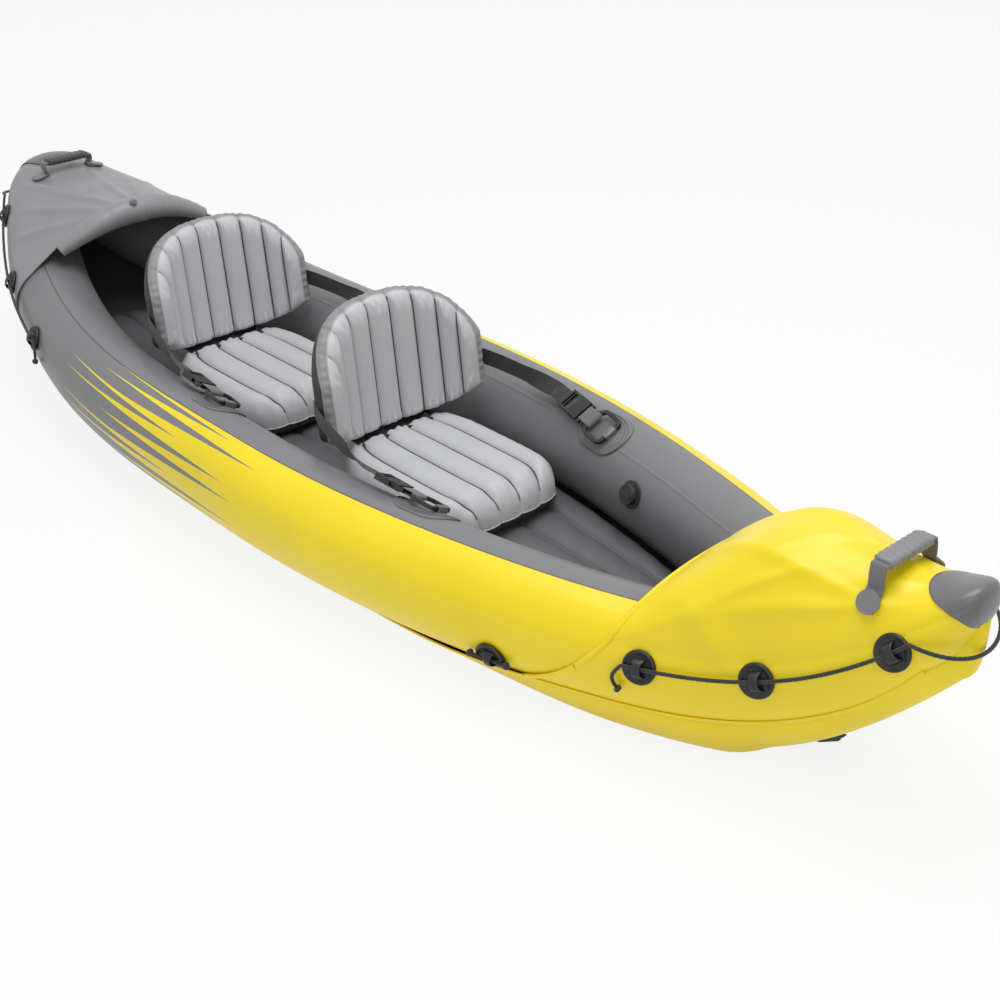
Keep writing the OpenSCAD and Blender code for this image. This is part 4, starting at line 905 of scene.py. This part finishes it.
black_webbing = webbing_finish("black_webbing", srgb(24, 24, 26))
grey_webbing = webbing_finish("grey_webbing", srgb(112, 112, 114))
STRAP_W, WEAVE = 0.040, 12.0
ANCHOR_X, ANCHOR_A, STRAP_RISE = 0.425, -30.0, 8.0


def tape(path, wide, width, thick):
    """Flat strip: a rounded bar profile, its width along the wide direction, its thickness square to it."""
    run = lengths(path)
    tangent = unit(np.gradient(path, axis=0))
    wide = unit(wide - (wide * tangent).sum(-1, keepdims=True) * tangent)
    flat = np.cross(tangent, wide)
    c = circle(28)
    across, up = power(np.cos(c), 0.25) * width / 2, power(np.sin(c), 0.6) * thick / 2
    points = path[:, None] + across[None, :, None] * wide[:, None] + up[None, :, None] * flat[:, None]
    v = np.append(across, across[:1]) * WEAVE
    return grid(points, wrap=True, uv=join(run[:, None], v[None]), ends=True)


def strap_vec(sx, v):
    """Directions in the strap's frame: tilted on to the tube's shoulder, raised a little, turned along it."""
    x = sx + ANCHOR_X + np.array([-0.0005, 0.0005])
    yaw = 180 + math.degrees(math.atan2(np.diff(line_y(x))[0], np.diff(x)[0]))
    return turned(turned(turned(v, ANCHOR_A, 0), -STRAP_RISE, 1), yaw, 2)


def strap_point(sx, v):
    """Points in the strap's own frame, from the anchor ring's after bar."""
    off = 0.0082 + 0.058 * math.sin(math.radians(STRAP_RISE))
    return hull_point(sx + ANCHOR_X - 0.029, ANCHOR_A, off) + strap_vec(sx, v)


SEATS = (("front", 0.060), ("rear", -0.640))
LEAN, WRAP = math.tan(math.radians(6)), math.radians(78)
PAD_H, PAD_HALF, PAD_GAP, PAD_MID = 0.106, 0.186, 0.0003, 0.2
BACK_W, BACK_T, BACK_X, BACK_GAP = 0.448, 0.031, 0.1925, 0.004


def back_base(sx):
    """Height of a backrest's lower edge: just above the top of its seat pad."""
    return float(floor_top(np.array(sx + BACK_X))) + PAD_GAP + PAD_H + BACK_GAP


def back_plan(a):
    """Plan of the backrest, a from -1 to 1 across: a curve that wraps forward at both wings."""
    return join(0.100 * (1 - np.cos(WRAP * a)) / (1 - math.cos(WRAP)),
                (BACK_W - BACK_T) / 2 * np.sin(WRAP * a) / math.sin(WRAP))


def back_low(a):
    """Rise of the lower edge above its middle, which grows towards the wings."""
    return 0.062 * np.abs(a) ** 2.5


def back_high(a):
    """Height of the upper edge, which falls towards the wings."""
    return 0.302 * (1 - 0.40 * np.abs(a) ** 2.6)


def back_surface(sx, a, h, t):
    """Backrest point: across a, up h from 0 to 1, and t metres forward along the plan's normal."""
    d = back_plan(a + 0.005) - back_plan(a - 0.005)
    n = unit(join(d[..., 1], -d[..., 0]))
    p = back_plan(a)
    z = mix(back_low(a), back_high(a), h)
    return join(sx - BACK_T + p[..., 0] + n[..., 0] * t - z * LEAN, p[..., 1] + n[..., 1] * t,
                back_base(sx) + z)


STRAIGHT, STRAP_H, STRAP_T, END_T = 0.3, 0.42, 0.0020, 0.0026
# Along the strap: the doubled end's start, the tape's start, the doubled end's end, the end of the straight
STRAP_XS = (0.0838, 0.1095, 0.1130, 0.1438)
for seat, sx in SEATS:
    body = seat + "_backrest"
    tongue_in, start, tongue_out, lead = (strap_point(sx, [v, 0, 0]) for v in STRAP_XS)
    one = np.ones(1)
    end = back_surface(sx, 0.80 * one, STRAP_H * one, -BACK_T * one)[0] + np.array([-0.0032, 0.0032, 0])
    swing = back_surface(sx, one, STRAP_H * one, 0 * one)[0] + np.array([0.010, 0.046, 0])
    t = np.linspace(0, 1, 121)[:, None]
    k = np.clip((t - STRAIGHT) / (1 - STRAIGHT), 0, 1)
    curve = (1 - k) ** 2 * lead + 2 * k * (1 - k) * swing + k * k * end
    path = np.where(t < STRAIGHT, mix(start, lead, t / STRAIGHT), curve)
    flat = strap_vec(sx, [0, 1, 0])
    wide = mix(flat, np.array([0, 0, -1.0]), ramp((t - 0.27) / 0.26))
    doubled = mix(tongue_in, tongue_out, np.linspace(0, 1, 12)[:, None])
    tapes = pair(tape(path, wide, STRAP_W - 0.0004, STRAP_T))
    doubles = pair(tape(doubled, np.broadcast_to(flat, doubled.shape), STRAP_W + 0.0004, END_T))
    for side_name, g, double, mirror in zip(SIDES, tapes, doubles, (np.array, starboard)):
        node, tongue = ("%s_%s_%s" % (seat, side_name, v) for v in ("strap", "tongue"))
        surface(node + "_end", [double], [black_webbing], body=tongue)
        strap = surface(node + "_tape", [g], [black_webbing], body=None,
                        replaces=[node])
        first, last = (tuple(map(float, mirror(v))) for v in (lead, end))
        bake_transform(strap)

# %% Anchor loops
loops = []
for seat, sx in SEATS:
    r, span = 0.0053, 0.030
    bend = np.pi * r
    run = np.linspace(0, 1, 97) * (2 * span + 2 * bend)
    turn1 = np.clip((run - span) / r, 0, np.pi)
    turn2 = np.clip((run - 2 * span - bend) / r, 0, np.pi)
    back = np.where(run < 2 * span + bend, 2 * span + bend - run, -r * np.sin(turn2))
    along_x = np.where(run < span, run, np.where(run < span + bend, span + r * np.sin(turn1), back))
    up_z = np.where(run < 2 * span + bend, r * np.cos(turn1), -r * np.cos(turn2))
    local = join(along_x, 0 * run, up_z)
    wide = np.broadcast_to(strap_vec(sx, [0, 1.0, 0]), local.shape)
    loops += pair(tape(strap_point(sx, local), wide, STRAP_W, STRAP_T))
surface("anchor_webbing_loops", loops, [grey_webbing], replaces=["anchor_webbing"])

# %% [markdown]
# ## Seats
# Each seat is an inflated pad and a wrap-round backrest: a pale quilted panel in front, a gathered gusset
# round the edge and a darker back. Air pushes the panel out between welded lines, so each channel is an
# arch, and the spare cloth gathers into puckers where a channel meets the edge. Heights worked out on a
# grid give full control of channels and puckers.

# %% Seat helpers
def crown(d, radius):
    """Quarter-round edge: rises from nothing at the rim to one at radius metres in."""
    return np.sqrt(np.clip(1 - (1 - np.clip(d / radius, 0, 1)) ** 2, 0, 1))


def gathers(s, pitch):
    """Uneven gathers along a seam: one wave whose own pitch wanders, with a slower one over it."""
    return np.sin(2 * np.pi * s / pitch + 1.7 * np.sin(s * 21.0)) * (0.65 + 0.35 * np.sin(s * 47.0 + 1.0))


def rim(points):
    """Border of a grid as one closed loop of points."""
    return np.concatenate([points[0, :-1], points[:-1, -1], points[-1, :0:-1], points[:0:-1, 0]])


def round_loop(loop, mid):
    """Periodic tangents of a closed loop, and the way outward from its middle."""
    tangent = unit(np.roll(loop, -1, 0) - np.roll(loop, 1, 0))
    return tangent, unit(loop - mid)


def gusset(front, back, bulge, pucker):
    """Band between two closed loops: straight across, bulged by a sine, and gathered along both seams."""
    s = np.linspace(0, 1, 13)[:, None, None]
    band = mix(front[None], back[None], s)
    tangent, away = round_loop(mix(front, back, 0.5), mix(front, back, 0.5).mean(0))
    out = unit(np.cross(tangent, back - front))
    out *= np.sign((out * away).sum(-1, keepdims=True))
    swell = np.sin(np.pi * s[..., 0])
    lift = bulge * swell + pucker * gathers(lengths(front), 0.021)[None] * swell ** 0.5
    return band + lift[..., None] * out[None]


def piping(loop, radius):
    """Round cord along a closed loop, of one radius or of one per point."""
    tangent, away = round_loop(loop, loop.mean(0))
    side = unit(np.cross(tangent, away))
    lift = np.cross(side, tangent)
    c = circle(10)[None, :, None]
    thick = np.broadcast_to(radius, len(loop))[:, None, None]
    rings = loop[:, None] + thick * (np.cos(c) * side[:, None] + np.sin(c) * lift[:, None])
    return np.concatenate([rings, rings[:1]])


PALE, SEAM = srgb(190, 191, 194), srgb(96, 97, 101)
PAD_CHANNELS, BACK_CHANNELS = 5, 9


def panel(name, channels, reach=0.012):
    """Pale panel with a thin darker weld along each channel line, from the UV map."""
    def paint(tree):
        u, v = own_uv(tree)
        part = calc(tree, "FRACT", calc(tree, "MULTIPLY", v, float(channels)))
        near = calc(tree, "SUBTRACT", 0.5, calc(tree, "ABSOLUTE", calc(tree, "SUBTRACT", part, 0.5)))
        line = calc(tree, "LESS_THAN", near, 0.035)
        inside = between(tree, u, reach, 1 - reach)
        ends = between(tree, v, 0.5 / channels, 1 - 0.5 / channels)
        return two_tone(tree, calc(tree, "MULTIPLY", line, calc(tree, "MULTIPLY", inside, ends)), PALE, SEAM)
    return finish(name, PALE, rough=0.5, sheen=0.1, grain=(800, 0.25), ripple=(26, 0.35, 0.003), tone=0.04,
                  paint=paint)


pad_panel, back_panel = panel("pad_panel", PAD_CHANNELS), panel("back_panel", BACK_CHANNELS)
gusset_grey = finish("gusset_grey", srgb(140, 140, 143), rough=0.55, grain=(800, 0.3),
                     ripple=(38, 0.5, 0.003))
band_black = finish("band_black", srgb(44, 44, 46), rough=0.5, grain=(800, 0.3), ripple=(30, 0.4, 0.003))
piping_pale = finish("piping_pale", srgb(176, 176, 178), rough=0.5, grain=(900, 0.2), ripple=(30, 0.1, 0.001))


# %% Seat pads
PAD_AFT, PAD_L, PAD_SEAM, PAD_LIP = 0.014, 0.411, 0.24, 0.006
PAD_CORD, BACK_CORD, THIN_CORD = 0.0017, 0.0016, 0.0003


def pad_floor(sx):
    """Height of the floor's crests under a seat pad."""
    return float(floor_top(np.array(sx + PAD_MID)))


def pad_plan(sx, u, k, scale=1.0):
    """Plan of the pad: a rectangle whose sides bow and whose corners draw in, scaled about its middle."""
    x = sx - PAD_AFT + PAD_L * (0.5 + 0.5 * scale * k * (1 - 0.08 * u ** 4))
    return x, scale * PAD_HALF * u * (1 - 0.22 * np.abs(k) ** 5)


def pad_top(sx):
    """Panel height: a crown that falls round at the front and sides and stands upright at the rear, less the
    welds between channels, plus gathers. Each channel also bows forward, which scallops the front edge."""
    k, u = lattice(141, 161, -1.0)
    x, y = pad_plan(sx, u, k)
    x = x + 0.007 * (arch(u, PAD_CHANNELS) - 0.7) * ramp((k - 0.4) / 0.6)
    du, dk = (1 - np.abs(u)) * PAD_HALF, (1 - np.abs(k)) * 0.19
    full = crown(du, 0.050) * np.where(k > 0, crown(dk, 0.060), crown(dk, 0.018))
    weld = np.where(np.abs(u) < 0.8, 1 - arch(u, PAD_CHANNELS), 0.0) ** 1.2
    fold = (0.0030 * gathers(y, 0.027) * np.exp(-((dk - 0.016) / 0.016) ** 2)
            + 0.0018 * gathers(x, 0.034) * np.exp(-((du - 0.014) / 0.014) ** 2))
    low = pad_floor(sx) + PAD_GAP + PAD_H * PAD_SEAM + PAD_LIP
    high = (PAD_H * (1 - PAD_SEAM) - PAD_LIP) * (1 - 0.30 * weld * ramp(dk / 0.030))
    z = low + (high + fold) * full
    return join(x, y, z)


def pad_under(sx):
    """Underside: the same plan a little smaller, resting on the floor's crests."""
    k, u = lattice(141, 161, -1.0)
    x, y = pad_plan(sx, u, k, 0.955)
    return join(x, y, floor_top(x) + 0.0012 + 0.010 * (np.maximum(np.abs(u), np.abs(k)) ** 8))


for seat, sx in SEATS:
    top, under = pad_top(sx), pad_under(sx)
    band = gusset(rim(top), rim(under), 0.004, 0.0012)
    pad = surface(seat + "_pad_quilted", [grid(top), grid(band, wrap=True, mat=1), grid(under, mat=1)],
                  [pad_panel, band_black], replaces=[seat + "_seat_pad"])
    cord = surface(seat + "_pad_piping", [grid(piping(rim(top), PAD_CORD), wrap=True)], [piping_pale])
    for soft_piece in (pad, cord):
        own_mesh(soft_piece)


# %% Backrests
BACK_HALF = 0.27


def back_face(sx, way):
    """Front: a crown, welds between upright channels, gathers at the top and bottom. Back: the crown."""
    h, a = lattice(121, 217)
    tall = back_high(a) - back_low(a)
    da, dh = (1 - np.abs(a)) * BACK_HALF, np.minimum(h, 1 - h) * tall
    full = crown(da, 0.036) * np.where(h > 0.5, crown(dh, 0.040), crown(dh, 0.016))
    if way < 0:
        return back_surface(sx, a, h, -0.017 - 0.014 * full)
    channel = arch(a, BACK_CHANNELS)
    weld = np.where(np.abs(a) < 1 - 1 / BACK_CHANNELS, 1 - channel, 0.0) ** 1.2
    fold = 0.0042 * gathers(a * BACK_HALF, 0.020) * np.exp(-((dh - 0.014) / 0.014) ** 2)
    fold += 0.0016 * gathers(h * tall + 0.4, 0.030) * np.exp(-((da - 0.012) / 0.012) ** 2)
    points = back_surface(sx, a, h, 0.006 + 0.026 * full * (1 - 0.85 * weld) + fold * full)
    points[..., 2] += 0.008 * (channel - 0.75) * ramp((h - 0.6) / 0.4)
    return points


for seat, sx in SEATS:
    front, back = back_face(sx, 1), back_face(sx, -1)
    body = seat + "_backrest"
    band = gusset(rim(front), rim(back), 0.005, 0.0014)
    rest = surface(body + "_quilted", [grid(front), grid(band, wrap=True, mat=1), grid(back, mat=2)],
                   [back_panel, gusset_grey, band_black], body=body, replaces=[body])
    loop = rim(front)
    cord_r = mix(THIN_CORD, BACK_CORD, ramp((loop[:, 2] - loop[:, 2].min() - 0.006) / 0.02))
    surface(body + "_piping", [grid(piping(loop, cord_r), wrap=True)], [piping_pale], body=body)

# %% [markdown]
# ## Carry handles
# A handle is a strip of webbing riveted to the deck at both ends, with a ribbed moulded sleeve in the
# middle. The strip curves up from the deck to the sleeve; the sleeve is a rounded bar whose section grows
# and shrinks along its length to make the ribs.

# %% Handles
valve_grey = finish("valve_grey", srgb(54, 54, 57), rough=0.4, grain=(1000, 0.12), ripple=SMOOTH)
moulded_grey = finish("moulded_grey", srgb(128, 128, 130), rough=0.4, grain=(900, 0.15),
                      ripple=(40, 0.1, 0.001))
GRIP_HALF, RIB_PITCH = 0.061, 0.01525
HANDLE_X, HANDLE_W, HANDLE_T = BOW - 0.165, 0.032, 0.003


def handle_path(way):
    """Flat under the rivet, then a curve up to the sleeve; mirrored for the other side."""
    x = way * HANDLE_X
    rivet_q, gap, lift = (0.29, 0.0024, 0.024) if way > 0 else (0.17, 0.0016, 0.032)
    base, mid = (deck_section(x, q, DECK_OFF) for q in (rivet_q, 0.0))
    d = deck_section(x, rivet_q + 0.02, 0.0) - deck_section(x, rivet_q - 0.02, 0.0)
    d = unit(d * np.array([0, 1, 1]))
    n = np.array([0, -d[2], d[1]])
    ridge = mid[2] + lift
    base = base + n * (HANDLE_T / 2 + gap)
    up = np.array([x, 0.069, ridge])
    k = np.linspace(0, 1, 30)[:, None]
    from_deck, pull = base - d * 0.027, np.array([x, 0.075, ridge - 0.018])
    curve = (1 - k) ** 2 * from_deck + 2 * k * (1 - k) * pull + k * k * up
    half = np.concatenate([mix(base + d * 0.016, base - d * 0.021, np.linspace(0, 1, 12)[:, None]), curve])
    return np.concatenate([half, starboard(half)[::-1]]), base, up


def grip_grid(x, z):
    """Rounded bar along Y with eight ribs: a super-ellipse whose size follows a raised cosine."""
    y = np.linspace(-GRIP_HALF, GRIP_HALF, 121)
    rib = 0.93 + 0.07 * ramp(0.5 + 0.9 * np.cos(2 * np.pi * (y + GRIP_HALF) / RIB_PITCH - 1.2))
    rib = rib * crown(GRIP_HALF - np.abs(y) + 0.002, 0.010)
    c = circle(40)
    px, pz = 0.0205 * power(np.cos(c), 0.55), 0.0098 * power(np.sin(c), 0.7)
    return join(x + rib[:, None] * px, y[:, None], z + rib[:, None] * pz)


for handle, way in (("bow", 1), ("stern", -1)):
    path, low, high = handle_path(way)
    path, _ = resample(path, 0.003)
    grip = handle + "_handle_grip"
    strip = tape(path, np.broadcast_to([1.0, 0, 0], path.shape), HANDLE_W, HANDLE_T)
    obj = surface(handle + "_handle_tape", [strip], [grey_webbing], body=None,
                  replaces=[handle + "_handle_webbing"])
    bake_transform(obj)
    surface(handle + "_handle_sleeve", [grid(grip_grid(high[0], high[2]), wrap=True, ends=True)],
            [moulded_grey if way > 0 else valve_grey], body=grip, replaces=[grip])

# %% [markdown]
# ## Moulded fittings kept from the solid model
# Buckles, rings, valves, rods and the skeg are rigid mouldings whose solids are already right, and so are
# the flat anchor patches and the hinge sleeves. They keep their meshes and get a finish; a Weld modifier
# joins the loose triangles, and a small Bevel catches the light.

# %% Fittings
fitting_black = finish("fitting_black", srgb(24, 24, 26), rough=0.36, grain=(1000, 0.12), ripple=SMOOTH)
fitting_grey = finish("fitting_grey", srgb(118, 118, 121), rough=0.42, grain=(1000, 0.15), ripple=SMOOTH)
rubber = finish("rubber", srgb(46, 46, 48), rough=0.6, grain=(1100, 0.3), ripple=SMOOTH)
patch_grey = finish("patch_grey", srgb(110, 110, 113), rough=0.42, ripple=(18, 0.2, 0.003))
tongues = ["%s_%s_tongue" % (s, p) for s in ("front", "rear") for p in SIDES]
kept = {
    fitting_black: ["buckle_sockets", "skeg_base", "skeg", "front_hinge_rod", "rear_hinge_rod",
                    "anchor_rings"] + tongues,
    fitting_grey: ["bow_handle_rivets", "stern_handle_rivets", "visor_valve_body", "visor_valve_plug",
                   "front_backrest_valve", "rear_backrest_valve", "front_backrest_plug",
                   "rear_backrest_plug"],
    valve_grey: ["port_valve_body", "starboard_valve_body", "floor_valve_body", "port_valve_cap",
                 "starboard_valve_cap", "floor_valve_cap"],
    rubber: ["valve_flaps"], patch_grey: ["anchor_patches"], band_black: ["seat_hinge_sleeves"],
}
for material, names in kept.items():
    for name in names:
        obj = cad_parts[name]
        obj.data.materials.clear()
        obj.data.materials.append(material)
        weld = obj.modifiers.new("weld", "WELD")
        weld.merge_threshold = 1e-5
        edge = obj.modifiers.new("edges", "BEVEL")
        edge.width, edge.segments, edge.limit_method = 0.0008, 2, "ANGLE"
        edge.angle_limit = math.radians(35)
print("kept", sum(map(len, kept.values())), "solid fittings")

# %% Weld lines on the anchor patches
lines = []
for seat, sx in SEATS:
    t = circle(120)
    for scale in (0.80, 0.93):
        reach, turn = 0.075 * scale * np.cos(t), np.degrees(0.052 * scale * np.sin(t) / 0.113)
        loop = hull_point(sx + ANCHOR_X + reach, ANCHOR_A + turn, 0.0037)
        lines += pair(grid(piping(loop, 0.0011), wrap=True))
surface("anchor_weld_lines", lines, [patch_grey])

# %% [markdown]
# ## Floor and light
# A plain pale floor takes the shadow. The camera sees it brighter than it is lit, through the Light Path
# node, so the background is nearly white while the light on the boat stays plain: a soft sky, one large
# lamp above and a weak one near the camera.

# %% Stage and light
def camera_or_gloss(tree):
    """1 for rays that end in the camera, in a reflection or in glass, else 0."""
    path = add(tree, "LightPath").outputs
    return calc(tree, "MAXIMUM", path["Is Camera Ray"], calc(tree, "MAXIMUM", path["Is Glossy Ray"],
                                                             path["Is Transmission Ray"]))


stage_mesh = bpy.data.meshes.new("stage")
stage_mesh.from_pydata([(-30, -30, 0), (30, -30, 0), (30, 30, 0), (-30, 30, 0)], [], [(0, 1, 2, 3)])
stage = linked("stage", stage_mesh)
pale = bpy.data.materials.new("pale_floor")
pale.use_nodes = True
tree = pale.node_tree
tree.nodes.clear()
lit = add(tree, "BsdfDiffuse", {"Color": (0.86, 0.86, 0.86, 1)})
glow = add(tree, "Emission", {"Color": (1, 1, 1, 1), "Strength": 1.0})
share = calc(tree, "MULTIPLY", camera_or_gloss(tree), 0.86)
blend_in = add(tree, "MixShader", {0: share, 1: lit.outputs[0], 2: glow.outputs[0]})
tree.links.new(blend_in.outputs[0], add(tree, "OutputMaterial").inputs[0])
stage_mesh.materials.append(pale)

world = bpy.data.worlds.new("sky")
bpy.context.scene.world = world
world.use_nodes = True
tree = world.node_tree
tree.nodes.clear()
sky = add(tree, "Background", {"Color": (1, 1, 1, 1), "Strength": 0.50})
white = add(tree, "Background", {"Color": (1, 1, 1, 1), "Strength": 1.0})
both = add(tree, "MixShader", {0: camera_or_gloss(tree), 1: sky.outputs[0], 2: white.outputs[0]})
tree.links.new(both.outputs[0], add(tree, "OutputWorld").inputs[0])


def lamp(name, at, target, size, watts):
    """Square soft lamp at a point, turned to a target."""
    data = bpy.data.lights.new(name, "AREA")
    data.size, data.energy = size, watts
    back = unit(np.array(at, float) - np.array(target, float))
    right = unit(np.cross((0.0, 1.0, 0.01), back))
    linked(name, data).matrix_world = placed(right, np.cross(back, right), back, at)


lamp("key", (0.6, 0.2, 4.2), (0, 0, 0.2), 3.0, 112)
lamp("near", (3.6, -2.2, 2.4), (0.2, 0, 0.2), 2.0, 20)
